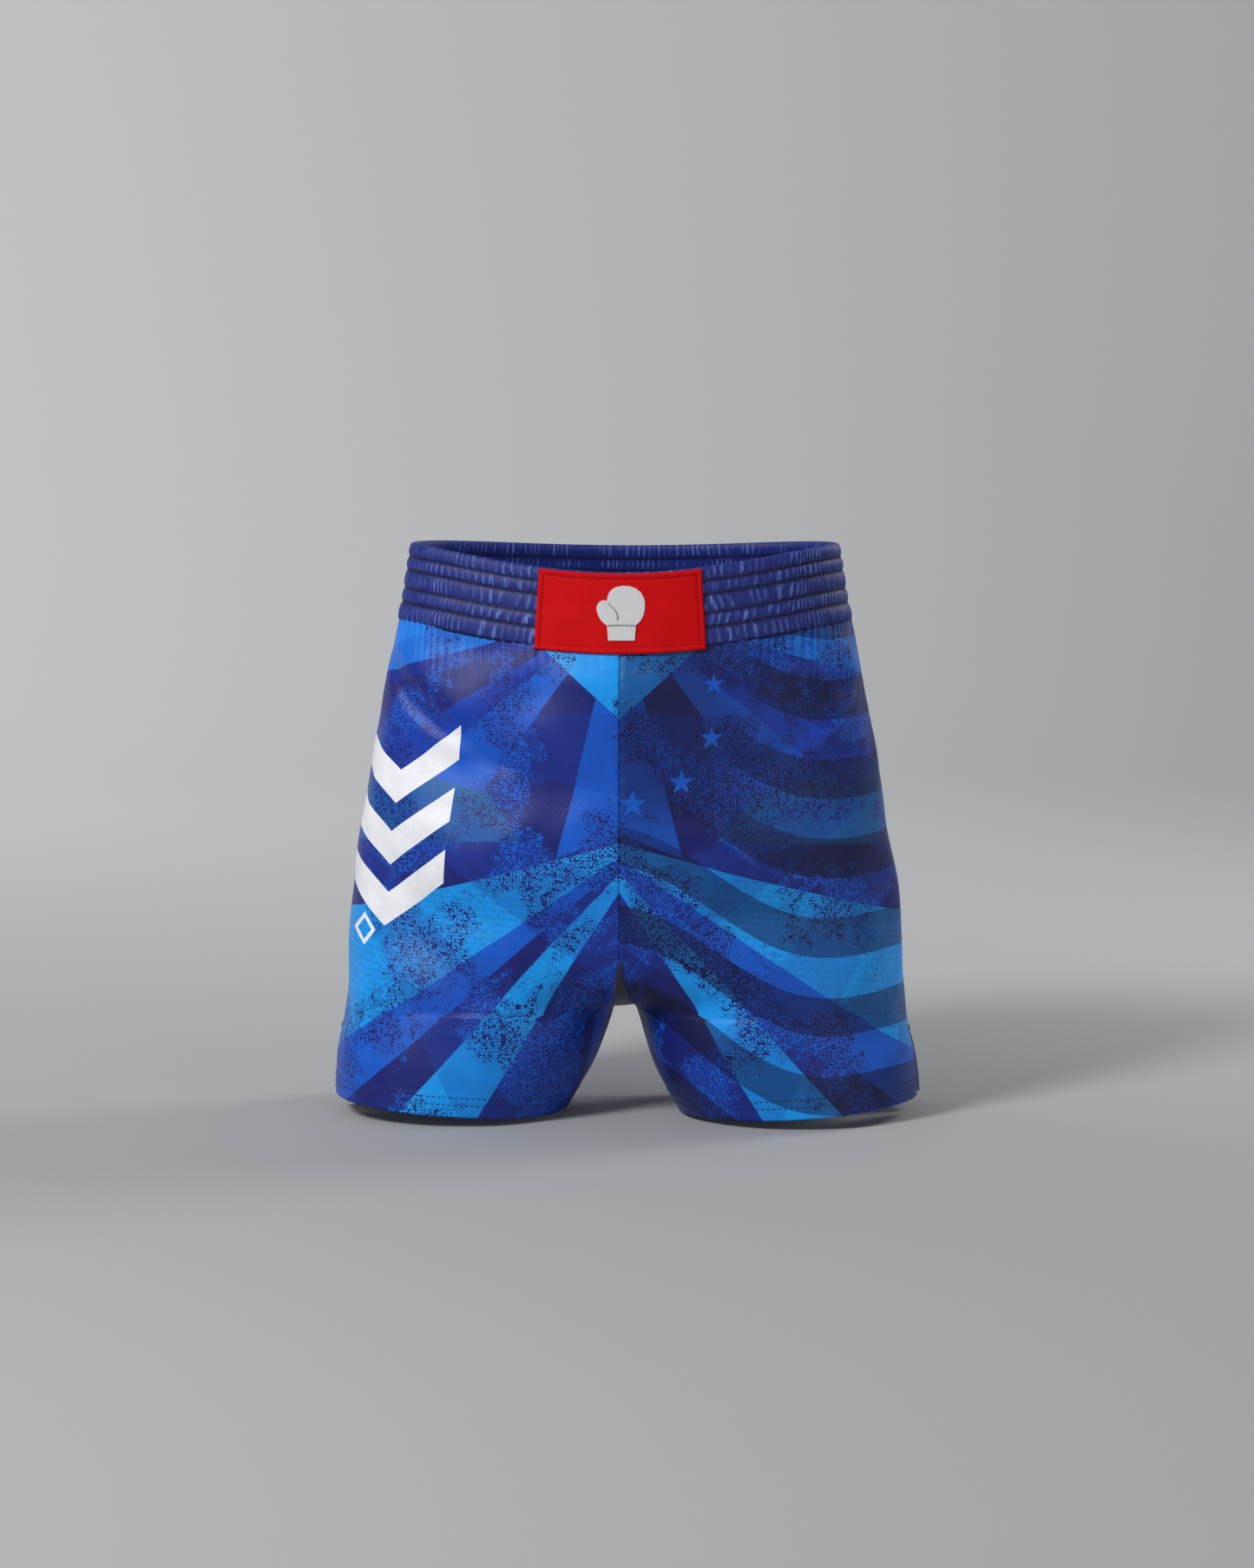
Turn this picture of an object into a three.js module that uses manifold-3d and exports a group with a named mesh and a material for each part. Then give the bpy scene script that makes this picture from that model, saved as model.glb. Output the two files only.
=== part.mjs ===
import * as THREE from "three";
import Module from "manifold-3d";
import { mergeVertices } from "three/addons/utils/BufferGeometryUtils.js";

// Boxing shorts, standing open as worn. Millimetres, +Z up, front towards -Y.
// The origin is the middle of the waist opening, level with the top of the band at the sides.

// ---- driving dimensions ----

const channelHeights = [11.5, 11, 15.5, 11.5, 16.5]; // waistband channels, top to bottom
const bandHeight = channelHeights.reduce((sum, height) => sum + height, 0);
const rise = 394; // waist down to the crotch
const inseam = 90; // crotch down to the hem on the inner leg
const hemSlope = 13; // how much higher the hem is at the side than on the inner leg
const frontDip = 20; // how far the waist edge drops at the centre front
const backDip = 7; // and at the centre back

// Half width, and depth to the front and to the back, at each level below the waist.
const girth = {
  waist: { below: 0, half: 179, front: 82, back: 84 },
  bandFoot: { below: bandHeight, half: 190.5, front: 88, back: 95 },
  hip: { below: 165, half: 213.5, front: 100, back: 116 },
  thigh: { below: 276, half: 230.5, front: 104, back: 118 },
  crotch: { below: rise, half: 244.5, front: 100, back: 108 },
  hem: { below: rise + inseam, half: 251.5, front: 94, back: 98 },
};

const riseCurve = 110; // height over which the rise seam curves in under the body
const gussetHalfWidth = 9.6; // widest, under the crotch
const legGapHalf = 49; // from the middle plane to the inner hem
const legGapPower = 1.5; // how late the inner legs flare apart

const cloth = 1.2; // a cloth layer
const clearance = 0.3; // between neighbouring pieces
const lap = 6; // body cloth tucked up inside the waistband casing
const hemDepth = 20; // turned-up hem
const ventHeight = 55; // slit at the foot of the side seam
const ventOpening = 8; // its width at the hem

const elasticWidth = 8;
const elasticThickness = 2;
const threadWidth = 0.8;
const threadHeight = 0.5;
const joinStitchRise = 2; // join stitching above the foot of the band
const hemStitchRises = { lower: 10, upper: 16.3 }; // above the hem edge
const bartack = { width: 10, height: 2.4, above: 1 };

const allowanceWidth = 6; // overlocked seam allowances, inside
const allowanceThickness = 1.6;
const allowanceInset = 1; // clear of the curved cloth that they lie on

const label = { width: 137, margin: 1, thickness: 1 };
const labelStitchInset = 4.5;
const badge = { height: 46, thickness: 0.8 };

// ---- mesh density ----

const quarterSteps = 12; // steps from the centre to the side
const bodyRows = 6;
const riseRows = 6;
const gussetRows = 4; // rows of the rise curve that the gusset reaches up
const legRows = 3;
const labelSteps = 12;
const probe = 0.01; // step for measuring a surface's slope

// ---- colours ----

const finishes = {
  print: { color: 0x0b3fa8, roughness: 0.55 },
  navy: { color: 0x141b4d, roughness: 0.5 },
  elastic: { color: 0xd8d8d4, roughness: 0.8 },
  bandThread: { color: 0x0f1438, roughness: 0.7 },
  hemThread: { color: 0x30343c, roughness: 0.8 },
  overlock: { color: 0x27346e, roughness: 0.85 },
  red: { color: 0xc8000f, roughness: 0.6 },
  white: { color: 0xf2f2f2, roughness: 0.7 },
};

// ---- the body surface ----

const { clamp, lerp } = THREE.MathUtils;
const levels = Object.values(girth);
const crotchZ = -rise;
const riseTop = crotchZ + riseCurve;
const gussetLift = (gussetRows / riseRows) ** 2;

// A measure of the body at a height: a smooth curve through the levels, straight past the ends.
function measure(key, z) {
  const below = -z;
  let i = 0;
  while (i < levels.length - 2 && below > levels[i + 1].below) i++;
  const slope = (k) => {
    const before = levels[Math.max(k - 1, 0)];
    const after = levels[Math.min(k + 1, levels.length - 1)];
    return (after[key] - before[key]) / (after.below - before.below);
  };
  const [from, to] = [levels[i], levels[i + 1]];
  const span = to.below - from.below;
  const raw = (below - from.below) / span;
  const u = clamp(raw, 0, 1);
  const curve = (2 * u ** 3 - 3 * u ** 2 + 1) * from[key] + (u ** 3 - 2 * u ** 2 + u) * span * slope(i)
    + (3 * u ** 2 - 2 * u ** 3) * to[key] + (u ** 3 - u ** 2) * span * slope(i + 1);
  return curve + (raw - u) * span * slope(raw > 1 ? i + 1 : i);
}

// Distance from the middle plane to the inner edge of the body cloth.
function innerEdge(z) {
  if (z >= crotchZ) return gussetHalfWidth * Math.max(0, 1 - (z - crotchZ) / (riseCurve * gussetLift));
  return gussetHalfWidth + (legGapHalf - gussetHalfWidth) * ((crotchZ - z) / inseam) ** legGapPower;
}

// The horizontal section of the +X half: an arc about `middle` that starts at the angle `start`,
// 0 on the straight rise and a quarter turn back from the middle of the leg below the crotch.
function section(z, sideGap = 0) {
  const lift = clamp((z - crotchZ) / riseCurve, 0, 1);
  const wrap = (1 - lift) ** 2;
  const half = measure("half", z);
  const reach = (half - innerEdge(z) - sideGap) / (1 + wrap);
  return { middle: half - reach, reach, start: Math.asin(-wrap) };
}

// A point of the +X half of the surface, moved inwards by `inset`.
function surfacePoint(face, angle, z, inset = 0, sideGap = 0) {
  const toward = face === "front" ? -1 : 1;
  const at = (a, h) => {
    const { middle, reach } = section(h, sideGap);
    return new THREE.Vector3(middle + reach * Math.sin(a), toward * measure(face, h) * Math.cos(a), h);
  };
  const around = at(angle + probe, z).sub(at(angle - probe, z));
  const up = at(angle, z + probe).sub(at(angle, z - probe));
  const inward = around.cross(up).normalize().multiplyScalar(toward);
  return at(angle, z).addScaledVector(inward, inset);
}

// The waist edge dips towards the middle of each face.
function waistLine(face, angle) {
  return -(face === "front" ? frontDip : backDip) * Math.abs(Math.cos(angle)) ** 3;
}

function hemLine(t) {
  return crotchZ - inseam + hemSlope * (1 - Math.cos(Math.PI * t)) / 2;
}

function channelEdges() {
  const edges = [0];
  for (const height of channelHeights) edges.push(edges.at(-1) + height);
  return edges;
}

// Within the band the surface runs straight from one channel edge to the next, `down` from the top.
function bandSurface(face, angle, down, inset, sideGap = 0) {
  const edges = channelEdges();
  const above = edges.slice(0, -1).filter((edge) => edge <= down).length;
  const k = Math.max(above, 1);
  const at = (edge) => surfacePoint(face, angle, waistLine(face, angle) - edge, inset, sideGap);
  return at(edges[k - 1]).lerp(at(edges[k]), (down - edges[k - 1]) / (edges[k] - edges[k - 1]));
}

// ---- solids from grids of points ----

function solid(points, triangles) {
  let volume = 0;
  const cross = new THREE.Vector3();
  for (const [a, b, c] of triangles) volume += cross.crossVectors(points[a], points[b]).dot(points[c]);
  const faces = volume > 0 ? triangles : triangles.map(([a, b, c]) => [a, c, b]);
  const geometry = new THREE.BufferGeometry();
  geometry.setAttribute("position", new THREE.Float32BufferAttribute(points.flatMap((p) => [p.x, p.y, p.z]), 3));
  geometry.setIndex(faces.flat());
  return geometry;
}

function mirrored(geometry) {
  const position = geometry.getAttribute("position");
  const points = [];
  for (let k = 0; k < position.count; k++) points.push(new THREE.Vector3().fromBufferAttribute(position, k).setX(-position.getX(k)));
  const index = geometry.getIndex().array;
  const triangles = [];
  for (let k = 0; k < index.length; k += 3) triangles.push([index[k], index[k + 1], index[k + 2]]);
  return solid(points, triangles);
}

// A sheet with two faces: at(i, j, 0) is the outer face and at(i, j, 1) the inner one.
function sheetSolid(columns, rows, at) {
  const points = [];
  for (const layer of [0, 1])
    for (let j = 0; j <= rows; j++)
      for (let i = 0; i <= columns; i++) points.push(at(i, j, layer));
  const id = (i, j, layer) => layer * (rows + 1) * (columns + 1) + j * (columns + 1) + i;
  const triangles = [];
  const quad = (a, b, c, d) => triangles.push([a, b, c], [a, c, d]);
  for (let j = 0; j < rows; j++)
    for (let i = 0; i < columns; i++) {
      quad(id(i, j, 0), id(i + 1, j, 0), id(i + 1, j + 1, 0), id(i, j + 1, 0));
      quad(id(i, j, 1), id(i, j + 1, 1), id(i + 1, j + 1, 1), id(i + 1, j, 1));
    }
  for (let i = 0; i < columns; i++) {
    quad(id(i + 1, 0, 0), id(i, 0, 0), id(i, 0, 1), id(i + 1, 0, 1));
    quad(id(i, rows, 0), id(i + 1, rows, 0), id(i + 1, rows, 1), id(i, rows, 1));
  }
  for (let j = 0; j < rows; j++) {
    quad(id(0, j, 0), id(0, j + 1, 0), id(0, j + 1, 1), id(0, j, 1));
    quad(id(columns, j + 1, 0), id(columns, j, 0), id(columns, j, 1), id(columns, j + 1, 1));
  }
  return solid(points, triangles);
}

// A closed loop of sections: at(i, k) is corner k of section i.
function loopSolid(steps, corners, at) {
  const points = [];
  for (let i = 0; i < steps; i++) for (let k = 0; k < corners; k++) points.push(at(i, k));
  const id = (i, k) => (i % steps) * corners + (k % corners);
  const triangles = [];
  for (let i = 0; i < steps; i++)
    for (let k = 0; k < corners; k++) {
      triangles.push([id(i, k), id(i + 1, k), id(i + 1, k + 1)], [id(i, k), id(i + 1, k + 1), id(i, k + 1)]);
    }
  return solid(points, triangles);
}

// ---- body panels ----

function panelRows(face, t) {
  const foot = waistLine(face, t * Math.PI / 2) - bandHeight;
  const fold = hemLine(t) + hemDepth;
  const rows = [foot + lap];
  for (let k = 0; k < bodyRows; k++) rows.push(lerp(foot, riseTop, k / bodyRows));
  for (let k = 0; k < riseRows; k++) rows.push(crotchZ + riseCurve * (1 - k / riseRows) ** 2);
  for (let k = 0; k < legRows; k++) rows.push(lerp(crotchZ, fold, k / legRows));
  rows.push(fold, fold - cloth, hemLine(t));
  return rows;
}

const panelRowCount = panelRows("front", 0).length - 1;

function panelPoint(face, t, row, inset) {
  const z = panelRows(face, t)[row];
  const depth = measure(face, z);
  const ventTop = hemLine(1) + ventHeight;
  const open = clearance / 2 + ventOpening / 2 * clamp((ventTop - z) / ventHeight, 0, 1);
  const start = Math.max(section(z).start, -Math.PI / 2 + clearance / 2 / depth);
  const end = Math.PI / 2 - open / depth;
  const angle = lerp(start, end, t);
  if (row === 0) return bandSurface(face, angle, bandHeight - lap, inset, clearance / 2);
  return surfacePoint(face, angle, z, inset, clearance / 2);
}

function panel(face) {
  return sheetSolid(quarterSteps, panelRowCount, (i, j, layer) => {
    const layers = j >= panelRowCount - 1 ? 2 : 1;
    return panelPoint(face, i / quarterSteps, j, layer * layers * cloth);
  });
}

// ---- rise seams and gusset, on the middle plane ----

function riseLine(face, z, inset) {
  const toward = face === "front" ? -1 : 1;
  const height = (q) => crotchZ + riseCurve * q * q; // even steps of q follow the curve evenly
  const at = (q) => ({ y: toward * measure(face, height(q)) * Math.cos(section(height(q)).start), z: height(q) });
  const q = Math.sqrt(Math.max(0, z - crotchZ) / riseCurve);
  const step = Math.max(probe, 1e-3);
  const [low, high] = [at(Math.max(q - step, 0)), at(q + step)];
  const along = new THREE.Vector2(high.y - low.y, high.z - low.z).normalize();
  const inward = q < step ? { y: 0, z: 1 } : { y: -toward * along.y, z: toward * along.x };
  const point = at(q);
  return { y: point.y + inward.y * inset, z: point.z + inward.z * inset };
}

function riseSeam(face) {
  const rows = panelRows(face, 0).slice(1, 1 + bodyRows + riseRows - gussetRows);
  rows[0] -= allowanceInset;
  const inset = cloth + allowanceInset;
  return sheetSolid(1, rows.length - 1, (i, j, layer) => {
    const { y, z } = riseLine(face, rows[j], inset + layer * allowanceThickness);
    return new THREE.Vector3((i - 0.5) * allowanceWidth, y, z);
  });
}

function gusset() {
  const stations = [];
  const tipCut = 0.3; // the pointed ends are cut blunt, this far into the last row
  for (const face of ["front", "back"]) {
    const run = [];
    for (let k = gussetRows; k > 0; k--) run.push({ face, z: crotchZ + riseCurve * (k / riseRows) ** 2 });
    stations.push(...(face === "front" ? run : run.reverse()));
    if (face === "front") stations.push({ face, z: crotchZ });
  }
  const corner = ({ face, z }, side, inset) => {
    const line = riseLine(face, z, inset);
    return new THREE.Vector3(side * (innerEdge(z) - clearance / 2), line.y, line.z);
  };
  const last = stations.length - 1;
  return sheetSolid(1, last, (i, j, layer) => {
    const side = i * 2 - 1;
    const point = corner(stations[j], side, layer * cloth);
    if (j === 0) point.lerp(corner(stations[1], side, layer * cloth), tipCut);
    if (j === last) point.lerp(corner(stations[last - 1], side, layer * cloth), tipCut);
    return point;
  });
}

// ---- side seams and inseams, of the +X leg ----

function sideSeam() {
  const foot = -bandHeight - allowanceInset;
  const rows = [foot, ...panelRows("front", 1).filter((z) => z < foot && z > hemLine(1) + ventHeight)];
  rows.push(hemLine(1) + ventHeight);
  const inset = cloth + allowanceInset;
  return sheetSolid(1, rows.length - 1, (i, j, layer) => {
    const x = measure("half", rows[j]) - inset - layer * allowanceThickness;
    return new THREE.Vector3(x, (i - 0.5) * allowanceWidth, rows[j]);
  });
}

function inseamSeam() {
  const top = crotchZ - cloth - allowanceWidth / 2;
  const foot = hemLine(0) + hemDepth + 2 * cloth + clearance; // above the double cloth of the hem
  const rows = [top, ...panelRows("front", 0).filter((z) => z < top && z > foot), foot];
  const inset = cloth + allowanceInset;
  return sheetSolid(1, rows.length - 1, (i, j, layer) => {
    const point = surfacePoint("front", -Math.PI / 2, rows[j], inset + layer * allowanceThickness);
    return point.setY((i - 0.5) * allowanceWidth);
  });
}

// ---- hem stitching and bartack, of the +X leg ----

function hemStitch(riseAbove) {
  const stops = [];
  for (let i = quarterSteps; i >= 0; i--) stops.push({ face: "front", t: i / quarterSteps });
  for (let i = 0; i <= quarterSteps; i++) stops.push({ face: "back", t: i / quarterSteps });
  const endInset = 2; // the rows stop short of the vent
  const place = (stop, height, out) => {
    const top = panelPoint(stop.face, stop.t, panelRowCount - 1, -out);
    const foot = panelPoint(stop.face, stop.t, panelRowCount, -out);
    return foot.lerp(top, height / (top.z - foot.z));
  };
  return sheetSolid(stops.length - 1, 1, (i, j, layer) => {
    const height = riseAbove + (0.5 - j) * threadWidth;
    const out = clearance + (1 - layer) * threadHeight;
    const point = place(stops[i], height, out);
    const next = i === 0 ? stops[1] : i === stops.length - 1 ? stops[i - 1] : null;
    if (!next) return point;
    const neighbour = place(next, height, out);
    return point.lerp(neighbour, endInset / point.distanceTo(neighbour));
  });
}

function ventBartack() {
  const z = hemLine(1) + ventHeight + bartack.above;
  const x = measure("half", z) + clearance;
  return sheetSolid(1, 1, (i, j, layer) => new THREE.Vector3(
    x + (1 - layer) * threadHeight, (i - 0.5) * bartack.width, z + (1 - j) * bartack.height));
}

// ---- waistband ----

const bandSteps = quarterSteps * 4;
const outerWall = { out: -clearance - cloth, in: -clearance }; // insets from the body surface
const innerWall = { out: elasticThickness + clearance, in: elasticThickness + clearance + cloth };
const foldRadius = (innerWall.in - outerWall.out) / 2; // outside radius of the fold at the top edge

// A point of the band: `turn` goes round from the centre front, `down` from the top edge.
function bandPoint(turn, down, inset) {
  return bandSurface(Math.cos(turn) >= 0 ? "front" : "back", Math.asin(Math.sin(turn)), down, inset);
}

function bandRing(profile) {
  return loopSolid(bandSteps, profile.length, (i, k) => {
    const [down, inset] = profile[k];
    return bandPoint(i / bandSteps * 2 * Math.PI, down, inset);
  });
}

// An inverted U: one strip of cloth folded over the top edge, open at the foot.
function casing() {
  const stops = channelEdges().slice(1);
  const middle = (outerWall.out + innerWall.in) / 2;
  const innerRadius = foldRadius - cloth;
  const arc = (radius) => [30, 90, 150].map((degrees) => {
    const a = degrees * Math.PI / 180;
    return [foldRadius - radius * Math.sin(a), middle - radius * Math.cos(a)];
  });
  const wall = (inset) => [foldRadius, ...stops].map((down) => [down, inset]);
  return bandRing([
    ...wall(outerWall.out).reverse(), ...arc(foldRadius), ...wall(innerWall.in),
    ...wall(innerWall.out).reverse(), ...arc(innerRadius).reverse(), ...wall(outerWall.in),
  ]);
}

// Each strip lies in the middle of its channel, clear of the fold at the top and the lap at the foot.
function elastic(index) {
  const edges = channelEdges();
  const from = index === 0 ? foldRadius : edges[index];
  const to = edges[index + 1] - (index === channelHeights.length - 1 ? lap : 0);
  const [top, foot] = [-0.5, 0.5].map((side) => (from + to) / 2 + side * elasticWidth);
  return bandRing([[top, 0], [top, elasticThickness], [foot, elasticThickness], [foot, 0]]);
}

function bandStitch(down) {
  const base = outerWall.out - clearance;
  return bandRing([[down - threadWidth / 2, base], [down, base - threadHeight], [down + threadWidth / 2, base]]);
}

// ---- front label, over the band's stitching ----

const labelBase = outerWall.out - clearance - threadHeight - clearance;
const labelFace = labelBase - label.thickness;

// A point over the label: x across, `down` from the top of the band.
function labelPoint(x, down, inset) {
  let angle = 0;
  for (let pass = 0; pass < 3; pass++) angle = Math.asin(x / measure("half", waistLine("front", angle) - down));
  return bandPoint(angle, down, inset);
}

function frontLabel() {
  return sheetSolid(labelSteps, 4, (i, j, layer) => {
    const down = lerp(label.margin, bandHeight - label.margin, j / 4);
    return labelPoint((i / labelSteps - 0.5) * label.width, down, layer ? labelBase : labelFace);
  });
}

function labelStitch() {
  const halfWide = label.width / 2 - labelStitchInset;
  const top = label.margin + labelStitchInset;
  const foot = bandHeight - label.margin - labelStitchInset;
  const path = [];
  const sideSteps = 4;
  for (let i = 0; i < labelSteps; i++) path.push([lerp(-1, 1, i / labelSteps), -1]);
  for (let i = 0; i < sideSteps; i++) path.push([1, lerp(-1, 1, i / sideSteps)]);
  for (let i = 0; i < labelSteps; i++) path.push([lerp(1, -1, i / labelSteps), 1]);
  for (let i = 0; i < sideSteps; i++) path.push([-1, lerp(1, -1, i / sideSteps)]);
  const base = labelFace - clearance;
  return loopSolid(path.length, 4, (i, k) => {
    const [u, v] = path[i];
    const grow = (k === 1 || k === 2 ? 0.5 : -0.5) * threadWidth;
    const x = u * (halfWide + grow);
    const down = lerp(top - grow, foot + grow, (v + 1) / 2);
    return labelPoint(x, down, k < 2 ? base : base - threadHeight);
  });
}

// The badge is a plain boxing glove, cut from a plate that follows the label.
function gloveOutline(height) {
  const unit = height / 48;
  const at = (x, y) => [x * unit, y * unit];
  const shape = new THREE.Shape();
  shape.moveTo(...at(-10, -24));
  shape.lineTo(...at(13, -24));
  shape.lineTo(...at(14, -11));
  shape.bezierCurveTo(...at(21, -6), ...at(23, 4), ...at(21, 12));
  shape.bezierCurveTo(...at(18, 22), ...at(6, 25), ...at(-3, 22));
  shape.bezierCurveTo(...at(-9, 20), ...at(-11, 15), ...at(-11, 10));
  shape.bezierCurveTo(...at(-16, 12), ...at(-21, 8), ...at(-20, 2));
  shape.bezierCurveTo(...at(-19, -4), ...at(-15, -9), ...at(-11, -11));
  shape.closePath();
  return shape;
}

async function labelBadge() {
  const wasm = await Module();
  wasm.setup();
  const toManifold = (geometry) => {
    const bare = geometry.clone();
    bare.deleteAttribute("normal");
    bare.deleteAttribute("uv");
    const merged = mergeVertices(bare);
    return new wasm.Manifold(new wasm.Mesh({
      numProp: 3,
      vertProperties: new Float32Array(merged.getAttribute("position").array),
      triVerts: new Uint32Array(merged.getIndex().array),
    }));
  };
  const middle = bandHeight / 2;
  const back = labelFace - clearance;
  const plate = sheetSolid(labelSteps, 2, (i, j, layer) => labelPoint(
    (i / labelSteps - 0.5) * badge.height * 1.2, middle + (j - 1) * badge.height * 0.6,
    layer ? back : back - badge.thickness));
  const cutterDepth = 60;
  const cutter = new THREE.ExtrudeGeometry(gloveOutline(badge.height), {
    depth: cutterDepth, bevelEnabled: false, curveSegments: 5,
  });
  cutter.rotateX(Math.PI / 2);
  cutter.translate(0, -girth.waist.front + cutterDepth / 2, -frontDip - middle);
  const cut = toManifold(plate).intersect(toManifold(cutter)).getMesh();
  const geometry = new THREE.BufferGeometry();
  geometry.setAttribute("position", new THREE.Float32BufferAttribute(cut.vertProperties, 3));
  geometry.setIndex(Array.from(cut.triVerts));
  return geometry;
}

// ---- assembly ----

const shorts = new THREE.Group();

function add(name, geometry, finish) {
  const material = new THREE.MeshStandardMaterial({ metalness: 0, ...finishes[finish] });
  const mesh = new THREE.Mesh(geometry, material);
  mesh.name = name;
  shorts.add(mesh);
}

// The wearer's left side is +X, the right side its mirror image.
function addPair(part, geometry, finish) {
  add(`left_${part}`, geometry, finish);
  add(`right_${part}`, mirrored(geometry), finish);
}

for (const face of ["front", "back"]) {
  addPair(`${face}_panel`, panel(face), "print");
  add(`${face}_rise_seam`, riseSeam(face), "overlock");
}
add("crotch_gusset", gusset(), "navy");
addPair("side_seam", sideSeam(), "overlock");
addPair("inseam", inseamSeam(), "overlock");
for (const [row, height] of Object.entries(hemStitchRises)) addPair(`hem_stitch_${row}`, hemStitch(height), "hemThread");
addPair("vent_bartack", ventBartack(), "hemThread");

add("waistband_casing", casing(), "navy");
channelHeights.forEach((height, k) => add(`elastic_strip_${k + 1}`, elastic(k), "elastic"));
channelEdges().slice(1, -1).forEach((down, k) => add(`channel_stitch_${k + 1}`, bandStitch(down), "bandThread"));
add("waistband_join_stitch", bandStitch(bandHeight - joinStitchRise), "bandThread");

add("front_label", frontLabel(), "red");
add("front_label_stitch", labelStitch(), "red");
add("front_label_badge", await labelBadge(), "white");

export default shorts;
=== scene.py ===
import math

import bmesh
import bpy
import numpy as np
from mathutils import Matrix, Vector
from mathutils.bvhtree import BVHTree


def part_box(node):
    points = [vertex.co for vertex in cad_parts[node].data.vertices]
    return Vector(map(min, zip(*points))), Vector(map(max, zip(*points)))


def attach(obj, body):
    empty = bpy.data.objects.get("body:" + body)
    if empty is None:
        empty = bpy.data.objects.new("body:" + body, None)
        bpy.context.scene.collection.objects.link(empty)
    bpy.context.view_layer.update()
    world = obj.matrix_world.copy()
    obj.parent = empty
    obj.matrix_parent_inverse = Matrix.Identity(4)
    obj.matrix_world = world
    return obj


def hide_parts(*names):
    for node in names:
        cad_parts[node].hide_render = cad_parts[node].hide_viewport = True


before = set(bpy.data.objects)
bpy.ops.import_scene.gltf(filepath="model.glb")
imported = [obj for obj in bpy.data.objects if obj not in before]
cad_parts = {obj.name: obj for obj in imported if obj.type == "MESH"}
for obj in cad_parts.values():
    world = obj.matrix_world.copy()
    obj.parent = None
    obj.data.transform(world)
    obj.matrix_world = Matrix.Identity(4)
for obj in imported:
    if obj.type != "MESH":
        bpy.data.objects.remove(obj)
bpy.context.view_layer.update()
scene = bpy.context.scene
scene.view_settings.view_transform = "Standard"

gussetLow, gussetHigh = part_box("crotch_gusset")
labelLow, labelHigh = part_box("front_label")
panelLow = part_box("left_front_panel")[0]
crotchZ = gussetLow.z
innerHemZ = panelLow.z
print("frame loaded")

view = {"azimuth": 2.5, "elevation": 6.5, "distance": 3.5, "lens": 94.2, "aimX": 0.002, "aimZ": -0.206}


def makeCamera():
    camera = bpy.data.cameras.new("camera")
    camera.lens = view["lens"]
    camera.sensor_fit = "VERTICAL"
    camera.sensor_height = 36
    holder = bpy.data.objects.new("camera", camera)
    scene.collection.objects.link(holder)
    az, el = math.radians(view["azimuth"]), math.radians(view["elevation"])
    target = Vector((view["aimX"], 0, view["aimZ"]))
    away = Vector((math.sin(az) * math.cos(el), -math.cos(az) * math.cos(el), math.sin(el)))
    holder.location = target + away * view["distance"]
    holder.rotation_euler = away.to_track_quat("Z", "Y").to_euler()
    scene.camera = holder


makeCamera()

# the shorts' own sizes, in metres; the widths and depths are read from the CAD below
body = {
    "riseCurve": 0.110,     # height over which the rise seam curves in between the legs
    "gussetShare": 4 / 6,   # how far up that curve the gusset reaches
    "frontDip": 0.020,      # how far the waist edge dips at the centre front and back
    "backDip": 0.007,
    "bandHeight": 0.066,
    "lap": 0.005,           # panel tops tucked under the band
    "hemSlope": 0.013,      # the outer leg is this much shorter than the inner leg
    "hemDepth": 0.020,
    "ventHeight": 0.055,
    "ventOpening": 0.008,
    "bandWall": 0.0015,     # the casing stands this far out from the body surface
}


def cutNode(node, heights):
    # for each height, the points where a CAD node's edges cross it
    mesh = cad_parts[node].data
    points = np.array([v.co for v in mesh.vertices])
    edges = np.array([e.vertices[:] for e in mesh.edges])
    a, b = points[edges[:, 0]], points[edges[:, 1]]
    cuts = []
    for height in heights:
        hit = (a[:, 2] - height) * (b[:, 2] - height) < 0
        share = (height - a[hit, 2]) / (b[hit, 2] - a[hit, 2])
        cuts.append(a[hit] + share[:, None] * (b[hit] - a[hit]))
    return cuts


def measureBody():
    heights = np.linspace(-0.088, innerHemZ + body["hemSlope"] + 0.001, 34)
    bandHeights = np.array([-0.030, -0.045, -0.058])
    front, back = cutNode("left_front_panel", heights), cutNode("left_back_panel", heights)
    band = cutNode("waistband_casing", bandHeights)
    wall = body["bandWall"]
    sizes = {
        "half": [c[:, 0].max() - wall for c in band]
        + [max(f[:, 0].max(), b[:, 0].max()) for f, b in zip(front, back)],
        "inner": [0.0] * len(band) + [f[:, 0].min() for f in front],
        "front": [-c[:, 1].min() - wall for c in band] + [-f[:, 1].min() for f in front],
        "back": [c[:, 1].max() - wall for c in band] + [b[:, 1].max() for b in back],
    }
    # lowest first, lightly smoothed, because the CAD surface has flat facets
    tidy = {}
    for key, values in sizes.items():
        values = np.array(values)[::-1]
        soft = np.convolve(np.pad(values, 2, "edge"), [0.1, 0.2, 0.4, 0.2, 0.1], "valid")
        tidy[key] = values if key == "inner" else soft
    return np.concatenate([bandHeights, heights])[::-1], tidy


bodyHeights, bodySizes = measureBody()


def measure(key, z):
    # between the measured heights, and straight on past both ends
    heights, values = bodyHeights, bodySizes[key]
    above = (values[-1] - values[-4]) / (heights[-1] - heights[-4])
    below = (values[3] - values[0]) / (heights[3] - heights[0])
    return (np.interp(z, heights, values) + np.maximum(z - heights[-1], 0) * above
            + np.minimum(z - heights[0], 0) * below)


def section(z):
    # the middle and reach of one leg's ellipse at a height, and the angle its cloth starts from
    lift = np.clip((z - crotchZ) / body["riseCurve"], 0, 1)
    wrap = (1 - lift) ** 2
    half = measure("half", z)
    inner = np.where(z > crotchZ + 0.06, 0, measure("inner", z))
    reach = (half - inner) / (1 + wrap)
    return half - reach, reach, np.arcsin(-wrap)


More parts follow.
